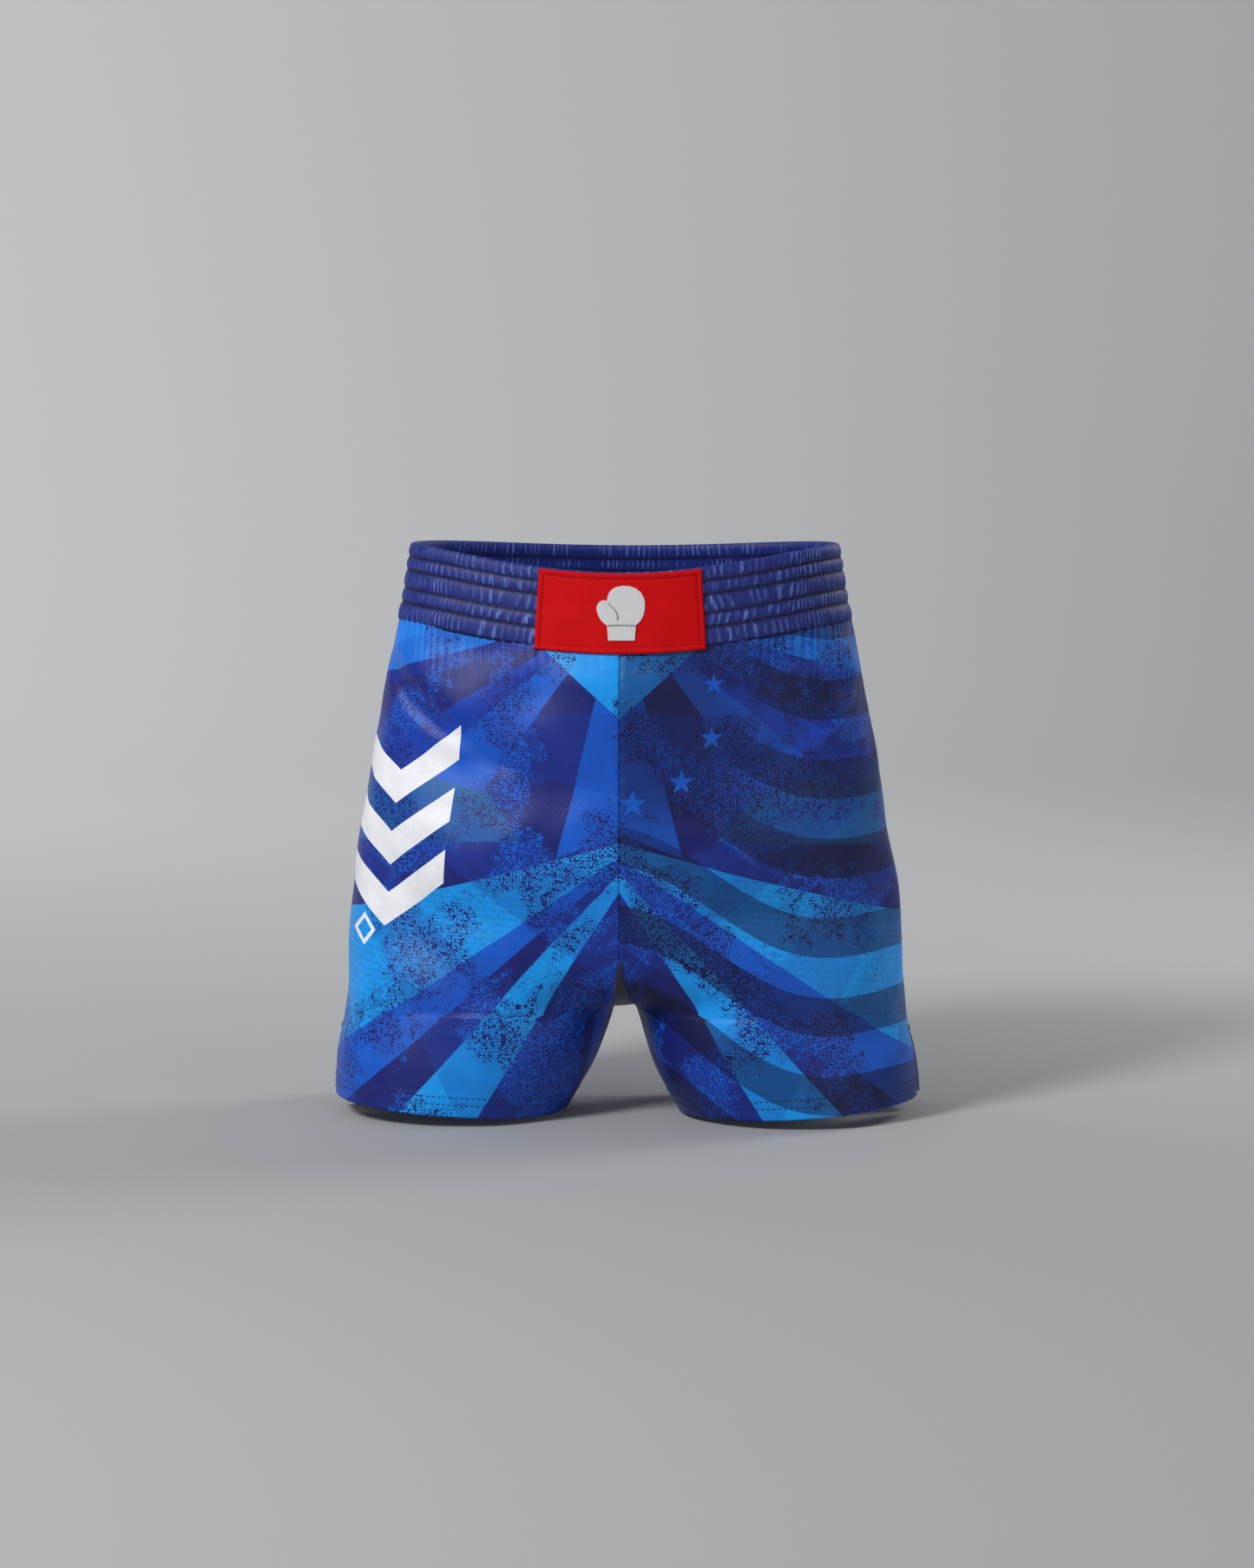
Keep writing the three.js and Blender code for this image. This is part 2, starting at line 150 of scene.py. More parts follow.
def bodyPoint(face, angle, z):
    middle, reach, _ = section(z)
    toward = -1 if face == "front" else 1
    y = toward * measure(face, z) * np.cos(angle)
    return np.stack([middle + reach * np.sin(angle), y, z + 0 * angle], -1)


def waistLine(face, angle):
    return -body[face + "Dip"] * np.abs(np.cos(angle)) ** 3


def hemLine(t):
    return innerHemZ + body["hemSlope"] * (1 - np.cos(np.pi * t)) / 2


def smooth(x):
    x = np.clip(x, 0, 1)
    return x * x * (3 - 2 * x)


def softNoise(rng, count, spacing):
    # a smooth random line of count values between 0 and 1, one knot each spacing values
    knots = rng.random(int(count / spacing) + 4)
    where = np.arange(count) / spacing + 1
    low = where.astype(int)
    share = smooth(where - low)
    return knots[low] * (1 - share) + knots[low + 1] * share


def meshPiece(name, points, faces):
    data = bpy.data.meshes.new(name)
    data.from_pydata([tuple(p) for p in points], [], [tuple(int(i) for i in f) for f in faces])
    data.polygons.foreach_set("use_smooth", [True] * len(data.polygons))
    data.update()
    piece = bpy.data.objects.new(name, data)
    scene.collection.objects.link(piece)
    return piece


def addPlaces(piece, name, perVertex):
    # writes a value pair for each vertex as a named coordinate layer
    layer = piece.data.uv_layers.new(name=name)
    corners = np.zeros(len(piece.data.loops), dtype=int)
    piece.data.loops.foreach_get("vertex_index", corners)
    layer.data.foreach_set("uv", np.asarray(perVertex, dtype=np.float32)[corners].ravel())


def gridFaces(rows, columns, closed=False):
    j, i = np.meshgrid(np.arange(rows - 1), np.arange(columns if closed else columns - 1), indexing="ij")
    k = (i + 1) % columns
    upper, lower = j * columns, (j + 1) * columns
    return np.stack([upper + i, upper + k, lower + k, lower + i], -1).reshape(-1, 4)


def applyModifiers(piece):
    depsgraph = bpy.context.evaluated_depsgraph_get()
    data = bpy.data.meshes.new_from_object(piece.evaluated_get(depsgraph), depsgraph=depsgraph)
    piece.modifiers.clear()
    old, piece.data = piece.data, data
    bpy.data.meshes.remove(old)


def place(piece, slot, replaced, *materials):
    # a finished piece rides on the one body and stands for its CAD nodes
    for material in materials:
        piece.data.materials.append(material)
    if replaced:
        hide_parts(*replaced)
    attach(piece, "root")


def paint(red, green, blue):
    # screen colour values, 0 to 255, as the linear colour that a shader takes
    shares = (red / 255, green / 255, blue / 255)
    return tuple(((c + 0.055) / 1.055) ** 2.4 if c > 0.04045 else c / 12.92 for c in shares) + (1,)


dye = {
    "midnight": paint(16, 20, 88), "navy": paint(20, 30, 118), "royal": paint(8, 62, 178),
    "blue": paint(6, 92, 208), "sky": paint(8, 126, 232), "cyan": paint(10, 158, 248),
    "teal": paint(10, 96, 168), "white": paint(244, 245, 250),
}


def put(tree, kind, settings, sockets):
    # adds one node; a socket takes a plain value or another node's output
    node = tree.nodes.new("ShaderNode" + kind)
    for key, value in settings.items():
        setattr(node, key, value)
    for key, value in sockets.items():
        if isinstance(value, bpy.types.NodeSocket):
            tree.links.new(value, node.inputs[key])
        else:
            node.inputs[key].default_value = value
    return node


def calc(tree, operation, *values, clamp=False):
    settings = {"operation": operation, "use_clamp": clamp}
    return put(tree, "Math", settings, dict(enumerate(values))).outputs[0]


def remap(tree, value, low, high, toLow=0.0, toHigh=1.0, curve="LINEAR"):
    sockets = {"Value": value, "From Min": low, "From Max": high, "To Min": toLow, "To Max": toHigh}
    return put(tree, "MapRange", {"interpolation_type": curve}, sockets).outputs[0]


def blendColor(tree, share, first, second, mode="MIX"):
    settings = {"data_type": "RGBA", "blend_type": mode}
    return put(tree, "Mix", settings, {0: share, 6: first, 7: second}).outputs[2]


def noise(tree, where, scale, detail=1.0, roughness=0.5, dimensions="3D"):
    sockets = {"Vector": where, "Scale": scale, "Detail": detail, "Roughness": roughness}
    return put(tree, "TexNoise", {"noise_dimensions": dimensions}, sockets).outputs[0]


def split(tree, vector):
    return put(tree, "SeparateXYZ", {}, {0: vector}).outputs


def join(tree, *values):
    return put(tree, "CombineXYZ", {}, dict(enumerate(values))).outputs[0]


def vectorCalc(tree, operation, *values):
    node = put(tree, "VectorMath", {"operation": operation}, dict(enumerate(values)))
    return node.outputs[1 if operation in ("DOT_PRODUCT", "LENGTH") else 0]


def coordinates(tree, layer):
    return put(tree, "UVMap", {"uv_map": layer}, {}).outputs[0]


def nodeGroup(name, inputs, outputs):
    # an empty node group, its input values and its output node
    group = bpy.data.node_groups.new(name, "ShaderNodeTree")
    for label, kind, value in inputs:
        socket = group.interface.new_socket(label, in_out="INPUT", socket_type="NodeSocket" + kind)
        if value is not None:
            socket.default_value = value
    for label, kind in outputs:
        group.interface.new_socket(label, in_out="OUTPUT", socket_type="NodeSocket" + kind)
    given = group.nodes.new("NodeGroupInput")
    result = group.nodes.new("NodeGroupOutput")
    return group, {label: given.outputs[label] for label, _, _ in inputs}, result


def useGroup(tree, group, sockets):
    node = put(tree, "Group", {"node_tree": group}, sockets)
    return node.outputs


def weaveGroup():
    # two crossing sets of yarn with a slow unevenness; the scale is yarns in a metre
    group, given, result = nodeGroup("clothWeave", [("Place", "Vector", None), ("Yarns", "Float", 700.0)],
                                     [("Height", "Float"), ("Slub", "Float")])
    scale = {0: given["Place"], 3: given["Yarns"]}
    where = put(group, "VectorMath", {"operation": "SCALE"}, scale).outputs[0]
    wander = noise(group, where, 0.13, 2.0)
    parts = split(group, where)
    across = calc(group, "SINE", calc(group, "MULTIPLY_ADD", parts[0], math.pi, wander))
    down = calc(group, "SINE", calc(group, "MULTIPLY_ADD", parts[1], math.pi, wander))
    yarn = calc(group, "MULTIPLY", across, down)
    height = calc(group, "MULTIPLY_ADD", yarn, 0.5, calc(group, "MULTIPLY", wander, 0.6))
    group.links.new(height, result.inputs["Height"])
    group.links.new(noise(group, given["Place"], 60.0, 3.0), result.inputs["Slub"])
    return group


def speckleGroup():
    # worm-like specks; Cover 0 leaves none and 1 leaves a dense, ragged crowd
    group, given, result = nodeGroup("speckle", [("Place", "Vector", None), ("Cover", "Float", 0.5)],
                                     [("Mask", "Float")])
    worms = noise(group, given["Place"], 360.0, 0.0, 0.4)
    clumps = noise(group, given["Place"], 85.0, 3.0, 0.65)
    line = calc(group, "ABSOLUTE", calc(group, "SUBTRACT", worms, 0.5))
    reach = calc(group, "MULTIPLY_ADD", calc(group, "SUBTRACT", clumps, 0.5), 1.7, given["Cover"])
    width = remap(group, reach, 0.30, 0.62, 0.0, 0.085)
    mask = calc(group, "MULTIPLY", calc(group, "SUBTRACT", width, line), 160.0, clamp=True)
    group.links.new(mask, result.inputs["Mask"])
    return group


def dashGroup():
    # rows of short upright dashes, some fainter than others
    group, given, result = nodeGroup("dashMesh", [("Place", "Vector", None)], [("Mask", "Float")])
    wander = noise(group, given["Place"], 45.0, 2.0)
    parts = split(group, given["Place"])
    tilted = calc(group, "MULTIPLY_ADD", parts[0], 0.10, parts[1])
    row = calc(group, "MULTIPLY_ADD", tilted, 1 / 0.0059, calc(group, "MULTIPLY", wander, 0.7))
    step = calc(group, "MULTIPLY_ADD", parts[0], 1 / 0.0019, calc(group, "MULTIPLY", wander, 2.0))
    inRow = calc(group, "LESS_THAN", calc(group, "FRACT", row), 0.63)
    inStep = calc(group, "LESS_THAN", calc(group, "FRACT", step), 0.42)
    uneven = remap(group, noise(group, given["Place"], 260.0, 1.0), 0.35, 0.6)
    mask = calc(group, "MULTIPLY", calc(group, "MULTIPLY", inRow, inStep), uneven)
    group.links.new(mask, result.inputs["Mask"])
    return group


def starGroup():
    # a five-pointed star, by folding the turn round its centre into one half point
    inputs = [("Place", "Vector", None), ("Centre", "Vector", None), ("Size", "Float", 0.012)]
    group, given, result = nodeGroup("star", inputs, [("Mask", "Float")])
    sockets = {0: given["Place"], 1: given["Centre"]}
    offset = put(group, "VectorMath", {"operation": "SUBTRACT"}, sockets).outputs[0]
    parts = split(group, offset)
    turn = calc(group, "ARCTAN2", parts[0], parts[1])
    folded = calc(group, "PINGPONG", turn, math.pi / 5)
    far = vectorCalc(group, "LENGTH", offset)
    along = calc(group, "MULTIPLY", far, calc(group, "COSINE", folded))
    aside = calc(group, "MULTIPLY", far, calc(group, "SINE", folded))
    slope = math.sin(math.pi / 5) * 0.4 / (1 - 0.4 * math.cos(math.pi / 5))
    edge = calc(group, "MULTIPLY", calc(group, "SUBTRACT", given["Size"], along), slope)
    mask = calc(group, "MULTIPLY", calc(group, "SUBTRACT", edge, aside), 6000.0, clamp=True)
    group.links.new(mask, result.inputs["Mask"])
    return group


def twistGroup():
    # the slanted plies of a sewing thread; Along runs along the thread in metres
    group, given, result = nodeGroup("threadTwist", [("Place", "Vector", None), ("Turns", "Float", 1400.0)],
                                     [("Height", "Float")])
    parts = split(group, given["Place"])
    slant = calc(group, "ADD", parts[0], calc(group, "ADD", parts[1], parts[2]))
    turns = calc(group, "MULTIPLY", given["Turns"], math.pi)
    wave = calc(group, "SINE", calc(group, "MULTIPLY", slant, turns))
    fuzz = noise(group, given["Place"], 2500.0, 2.0)
    group.links.new(calc(group, "MULTIPLY_ADD", wave, 0.5, fuzz), result.inputs["Height"])
    return group


weave = weaveGroup()
speckle = speckleGroup()
dashMesh = dashGroup()
star = starGroup()
threadTwist = twistGroup()


def newMaterial(name, **surface):
    # a material whose even values sit on the shader's own sockets
    material = bpy.data.materials.new(name)
    material.use_nodes = True
    tree = material.node_tree
    shader = tree.nodes["Principled BSDF"]
    labels = {"color": "Base Color", "roughness": "Roughness", "sheen": "Sheen Weight",
              "sheenRoughness": "Sheen Roughness", "sheenTint": "Sheen Tint",
              "specular": "Specular IOR Level"}
    for key, value in surface.items():
        shader.inputs[labels[key]].default_value = value
    return material, tree, shader


def bump(tree, height, strength, distance, normal=None):
    sockets = {"Height": height, "Strength": strength, "Distance": distance}
    if normal is not None:
        sockets["Normal"] = normal
    return put(tree, "Bump", {}, sockets).outputs[0]


# the print, the same on both legs: two fans of rays, the upper one from below the label and the lower one
# from the crotch; rays are listed outwards from straight down, each with its width in degrees; lengths are
# shares of the garment's length or of half its hem width
fullLength, hemHalf = -100 * hemLine(1.0), 100 * bodySizes["half"][0]
dye["mesh"] = dye["cyan"]
fans = {
    "upper": {"aside": 0.0, "focus": 0.10, "rays": [("blue", 14), ("navy", 22), ("blue", 14), ("royal", 8),
                                                    ("navy", 15), ("sky", 30), ("blue", 77)]},
    "lower": {"aside": 0.12, "focus": 0.50, "rays": [("royal", 16), ("navy", 15), ("cyan", 11), ("navy", 6),
                                                     ("blue", 7), ("mesh", 19), ("navy", 12), ("teal", 16),
                                                     ("blue", 16), ("navy", 62)]},
    "meet": 0.50, "rise": 0.45, "zigzag": 0.06, "tooth": 0.14, "wedge": 0.30, "backShift": 0.12,
}
facets = {"across": 1.2, "down": 0.30, "step": 26, "strength": 0.30}
waves = {"pitch": 0.14, "filled": 0.5, "start": 0.24, "height": 0.035, "drift": 0.30, "strength": 0.86,
         "swing": 0.24, "swingStart": -1.9, "cornerAcross": (0.30, 0.62), "cornerDown": (0.44, 0.56)}
starArc = {"count": 6, "down": 0.28, "radius": 0.17, "first": 8, "step": 32, "size": 0.026, "shrink": 0.90}
chevrons = {"count": 3, "top": 0.40, "step": 0.11, "thick": 0.55, "middle": 0.75, "halfWidth": 0.20,
            "slope": 0.8, "lean": 0.10}
diamond = {"across": 0.88, "down": 0.69, "size": 0.0090, "line": 0.0021}


def turnFrom(tree, across, down, focusAcross, focusDown):
    # the turn round a focus in degrees, 0 straight down and 180 straight up
    offset = calc(tree, "ABSOLUTE", calc(tree, "SUBTRACT", across, focusAcross))
    turn = calc(tree, "ARCTAN2", offset, calc(tree, "SUBTRACT", down, focusDown))
    return calc(tree, "DEGREES", turn)


def rayValue(tree, turn, rays, pick):
    # the value of whichever ray a turn falls in
    ramp = put(tree, "ValToRGB", {}, {0: calc(tree, "DIVIDE", turn, 180.0)})
    stops = ramp.color_ramp
    stops.interpolation = "CONSTANT"
    begin = 0
    for number, (shade, degrees) in enumerate(rays):
        stop = stops.elements[number] if number < 2 else stops.elements.new(begin / 180)
        stop.position = begin / 180
        stop.color = pick(shade)
        begin += degrees
    return ramp.outputs[0]


def printedRays(tree, across, down, cloth, onFront):
    # returns the ray colour and a mask of its dark parts; a focus may lie past the centre seam
    onBack = calc(tree, "SUBTRACT", 1.0, onFront)
    down = calc(tree, "MULTIPLY_ADD", onBack, fans["backShift"] * fullLength, down)
    tooth = calc(tree, "PINGPONG", across, fans["tooth"] * fullLength)
    line = calc(tree, "MULTIPLY_ADD", tooth, fans["zigzag"] / fans["tooth"] * 2, fans["meet"] * fullLength)
    line = calc(tree, "MULTIPLY_ADD", across, -fans["rise"], line)
    lower = calc(tree, "MULTIPLY", calc(tree, "SUBTRACT", down, line), 40.0, clamp=True)
    colors, marks = [], []
    for key in ("upper", "lower"):
        turn = turnFrom(tree, across, down, -fans[key]["aside"] * hemHalf, fans[key]["focus"] * fullLength)
        colors.append(rayValue(tree, turn, fans[key]["rays"], lambda shade: dye[shade]))
        marks.append(rayValue(tree, turn, fans[key]["rays"],
                              lambda shade: (float(shade == "navy"), float(shade == "mesh"), 0.0, 1.0)))
    color = blendColor(tree, lower, *colors)
    mark = split(tree, blendColor(tree, lower, *marks))
    # a bright wedge under the label, and faint facets crossing the rays from the side
    near = calc(tree, "SUBTRACT", fans["wedge"] * fullLength, calc(tree, "MULTIPLY_ADD", across, 0.9, down))
    wedge = calc(tree, "MULTIPLY", calc(tree, "MULTIPLY", near, 40.0, clamp=True), onFront)
    color = blendColor(tree, wedge, color, dye["cyan"])
    turn = turnFrom(tree, across, down, facets["across"] * hemHalf, facets["down"] * fullLength)
    crossing = calc(tree, "LESS_THAN", calc(tree, "FRACT", calc(tree, "DIVIDE", turn, facets["step"])), 0.5)
    color = blendColor(tree, calc(tree, "MULTIPLY", crossing, facets["strength"]), color, dye["royal"])
    dashes = calc(tree, "MULTIPLY", useGroup(tree, dashMesh, {"Place": cloth})["Mask"], mark[1])
    color = blendColor(tree, calc(tree, "MULTIPLY", dashes, 0.75), color, dye["teal"])
    return color, calc(tree, "MULTIPLY", mark[0], calc(tree, "SUBTRACT", 1.0, wedge))


def makePrintedSatin():
    material, tree, shader = newMaterial("printedSatin", sheen=0.06, sheenRoughness=0.4, specular=0.40,
                                         sheenTint=paint(150, 190, 255))
    cloth = coordinates(tree, "clothPlace")
    parts = split(tree, coordinates(tree, "printPlace"))
    side = parts[0]
    across = calc(tree, "MULTIPLY", calc(tree, "ABSOLUTE", side), 100.0)
    down = calc(tree, "MULTIPLY", parts[1], -100.0)
    edges = split(tree, coordinates(tree, "seamPlace"))
    onFront = calc(tree, "LESS_THAN", edges[0], 0.0)
    color, dark = printedRays(tree, across, down, cloth, onFront)

    # specks gather in broad patches, most of them towards the middle of the garment
    patches = remap(tree, noise(tree, cloth, 13.0, 1.5, 0.5), 0.40, 0.60, 0.0, 0.95)
    cover = calc(tree, "MULTIPLY", patches, remap(tree, across, 0.5 * hemHalf, hemHalf, 1.0, 0.55))
    specks = useGroup(tree, speckle, {"Place": cloth, "Cover": cover})["Mask"]
    other = blendColor(tree, dark, dye["navy"], dye["blue"])
    color = blendColor(tree, specks, color, other)

    # the inner edge of each leg is plain navy
    innerStrip = calc(tree, "MULTIPLY", calc(tree, "LESS_THAN", edges[1], 0.012),
                      calc(tree, "GREATER_THAN", down, 0.83 * fullLength))
    color = blendColor(tree, innerStrip, color, dye["midnight"])

    # dark see-through waves and an arc of plain stars on the wearer's left leg
    wearersLeft = calc(tree, "GREATER_THAN", side, 0.0)
    pitch = waves["pitch"] * fullLength
    swing = calc(tree, "SINE", calc(tree, "MULTIPLY_ADD", across, waves["swing"], waves["swingStart"]))
    drift = calc(tree, "MULTIPLY_ADD", across, -waves["drift"], down)
    row = calc(tree, "MULTIPLY_ADD", swing, -waves["height"] * fullLength, drift)
    row = calc(tree, "DIVIDE", calc(tree, "SUBTRACT", row, waves["start"] * fullLength), pitch)
    wave = calc(tree, "SUBTRACT", waves["filled"], calc(tree, "FRACT", row))
    wave = calc(tree, "MULTIPLY", wave, 90.0, clamp=True)
    inner, outer = waves["cornerAcross"]
    upper, foot = waves["cornerDown"]
    corner = calc(tree, "MULTIPLY", remap(tree, across, outer * hemHalf, inner * hemHalf),
                  remap(tree, down, foot * fullLength, upper * fullLength))
    shadeShare = calc(tree, "MULTIPLY", calc(tree, "MAXIMUM", wave, corner), wearersLeft)
    shaded = blendColor(tree, 1.0, color, paint(118, 128, 150), "MULTIPLY")
    color = blendColor(tree, calc(tree, "MULTIPLY", shadeShare, waves["strength"]), color, shaded)
    printPlace = join(tree, side, parts[1], 0.0)
    shine = 0.0
    for number in range(starArc["count"]):
        turn = math.radians(starArc["first"] + starArc["step"] * number)
        far = starArc["radius"] * fullLength / 100
        centre = (far * math.sin(turn), -starArc["down"] * fullLength / 100 - far * math.cos(turn), 0)
        size = starArc["size"] * starArc["shrink"] ** number * fullLength / 100
        mask = useGroup(tree, star, {"Place": printPlace, "Centre": centre, "Size": size})["Mask"]
        shine = calc(tree, "MAXIMUM", shine, mask)
    shine = calc(tree, "MULTIPLY", calc(tree, "MULTIPLY", shine, onFront), 0.9)
    color = blendColor(tree, shine, color, dye["blue"])

    # plain white chevrons on the front of the wearer's right hip, and a small plain diamond below them
    wearersRight = calc(tree, "LESS_THAN", side, 0.0)
    top, step = chevrons["top"] * fullLength, chevrons["step"] * fullLength
    lean = calc(tree, "MULTIPLY", calc(tree, "SUBTRACT", down, top), chevrons["lean"])
    offMiddle = calc(tree, "SUBTRACT", calc(tree, "SUBTRACT", across, chevrons["middle"] * hemHalf), lean)
    offMiddle = calc(tree, "ABSOLUTE", offMiddle)
    fromTop = calc(tree, "SUBTRACT", calc(tree, "MULTIPLY_ADD", offMiddle, chevrons["slope"], down), top)
    inStep = calc(tree, "MODULO", fromTop, step)
    motif = calc(tree, "MINIMUM", inStep, calc(tree, "SUBTRACT", chevrons["thick"] * step, inStep))
    motif = calc(tree, "MINIMUM", motif, calc(tree, "SUBTRACT", chevrons["halfWidth"] * hemHalf, offMiddle))
    last = calc(tree, "SUBTRACT", chevrons["count"] * step, fromTop)
    motif = calc(tree, "MINIMUM", motif, calc(tree, "MINIMUM", fromTop, last))
    motif = calc(tree, "MULTIPLY", motif, 40.0, clamp=True)
    middle = (-diamond["across"] * hemHalf / 100, -diamond["down"] * fullLength / 100, 0)
    offset = vectorCalc(tree, "SUBTRACT", printPlace, middle)
    offset = vectorCalc(tree, "ABSOLUTE", offset)
    away = vectorCalc(tree, "DOT_PRODUCT", offset, (1.0, 0.8, 0.0))
    outline = calc(tree, "ABSOLUTE", calc(tree, "SUBTRACT", away, diamond["size"]))
    outline = calc(tree, "MULTIPLY", calc(tree, "SUBTRACT", diamond["line"], outline), 4000.0, clamp=True)
    motif = calc(tree, "MULTIPLY", calc(tree, "MAXIMUM", motif, outline), onFront)
    color = blendColor(tree, calc(tree, "MULTIPLY", motif, wearersRight), color, dye["white"])

    threads = useGroup(tree, weave, {"Place": cloth, "Yarns": 760.0})
    worn = remap(tree, threads["Slub"], 0.3, 0.7, 0.93, 1.07)
    tint = join(tree, worn, worn, worn)
    tree.links.new(blendColor(tree, 1.0, color, tint, "MULTIPLY"), shader.inputs["Base Color"])
    tree.links.new(remap(tree, threads["Height"], 0.0, 1.0, 0.38, 0.50), shader.inputs["Roughness"])
    hem = split(tree, coordinates(tree, "edgePlace"))
    pucker = hemPucker(tree, hem[0], edges[0])
    normal = bump(tree, threads["Height"], 0.35, 0.0006)
    tree.links.new(bump(tree, pucker, 0.35, 0.0010, normal), shader.inputs["Normal"])
    return material


hemRows = {"lower": 0.0100, "upper": 0.0163, "pitch": 0.0038}


def hemPucker(tree, rise, along):
    # the cloth drawn down along both hem rows, a little deeper at each stitch
    height = None
    beat = calc(tree, "SINE", calc(tree, "MULTIPLY", along, 2 * math.pi / hemRows["pitch"]))
    for key in ("lower", "upper"):
        off = calc(tree, "DIVIDE", calc(tree, "SUBTRACT", rise, hemRows[key]), 0.0014)
        dip = calc(tree, "EXPONENT", calc(tree, "MULTIPLY", calc(tree, "MULTIPLY", off, off), -1.0))
        dip = calc(tree, "MULTIPLY", dip, calc(tree, "MULTIPLY_ADD", beat, -0.35, -0.5))
        height = dip if height is None else calc(tree, "ADD", height, dip)
    return height


def makeWovenMaterial(name, color, layer, yarns, depth, fleckAndShade=0.06, **surface):
    # a plain woven cloth of one colour with uneven yarns and painted shade at the lower yarn crossings;
    # without a layer it lies on the piece's own axes
    material, tree, shader = newMaterial(name, **surface)
    cloth = coordinates(tree, layer) if layer else put(tree, "TexCoord", {}, {}).outputs["Object"]
    threads = useGroup(tree, weave, {"Place": cloth, "Yarns": yarns})
    # the tone follows the yarn slubs, and painted shade darkens the lower yarn crossings
    tone = calc(tree, "MULTIPLY_ADD", threads["Height"], 0.5, threads["Slub"])
    tone = remap(tree, tone, 0.2, 1.2, 1 - fleckAndShade, 1 + fleckAndShade)
    tint = join(tree, tone, tone, tone)
    tree.links.new(blendColor(tree, 1.0, color, tint, "MULTIPLY"), shader.inputs["Base Color"])
    tree.links.new(bump(tree, threads["Height"], 0.4, depth), shader.inputs["Normal"])
    return material


def makeBandSatin():
    # gathered satin: the ridges carry a paler painted highlight, and the cloth beside the stitched grooves
    # carries painted shade
    material, tree, shader = newMaterial("bandSatin", sheen=0.2, sheenRoughness=0.35, specular=0.42,
                                         sheenTint=paint(150, 165, 230))
    bandPlace = coordinates(tree, "bandPlace")
    ridgeHighlightAndGrooveShade = split(tree, coordinates(tree, "bandHighlightAndShade"))
    threads = useGroup(tree, weave, {"Place": bandPlace, "Yarns": 900.0})
    fine = vectorCalc(tree, "MULTIPLY", bandPlace, (1.0, 0.12, 1.0))
    streaks = noise(tree, fine, 620.0, 2.5, 0.6)
    crest = calc(tree, "MULTIPLY", ridgeHighlightAndGrooveShade[0], remap(tree, streaks, 0.3, 0.7))
    crest = remap(tree, crest, 0.12, 0.62)
    # painted highlight: the crests of the gathers are painted a paler blue
    color = blendColor(tree, crest, paint(24, 38, 122), paint(100, 130, 212))
    # painted shade: the cloth beside each stitched groove is painted near black
    color = blendColor(tree, remap(tree, ridgeHighlightAndGrooveShade[1], 0.22, 0.0), color, paint(8, 10, 52))
    tree.links.new(color, shader.inputs["Base Color"])
    tree.links.new(remap(tree, streaks, 0.3, 0.7, 0.42, 0.58), shader.inputs["Roughness"])
    normal = bump(tree, threads["Height"], 0.3, 0.0005)
    tree.links.new(bump(tree, streaks, 0.5, 0.0012, normal), shader.inputs["Normal"])
    return material


def makeThread(name, color, turns=1400.0):
    material, tree, shader = newMaterial(name, roughness=0.55, specular=0.25)
    where = put(tree, "TexCoord", {}, {}).outputs["Object"]
    height = useGroup(tree, threadTwist, {"Place": where, "Turns": turns})["Height"]
    # painted shade: the valleys between the twisted plies are painted darker
    low = tuple(0.6 * c for c in color[:3]) + (1,)
    tree.links.new(blendColor(tree, remap(tree, height, 0.0, 1.2), low, color), shader.inputs["Base Color"])
    tree.links.new(bump(tree, height, 0.5, 0.0003), shader.inputs["Normal"])
    return material


# the cloth's own grid: columns from the centre to the side, rows from the band to the hem
grid = {"columns": 40, "bodyRows": 36, "riseRows": 18, "legRows": 13, "gussetColumns": 4, "finer": 2}


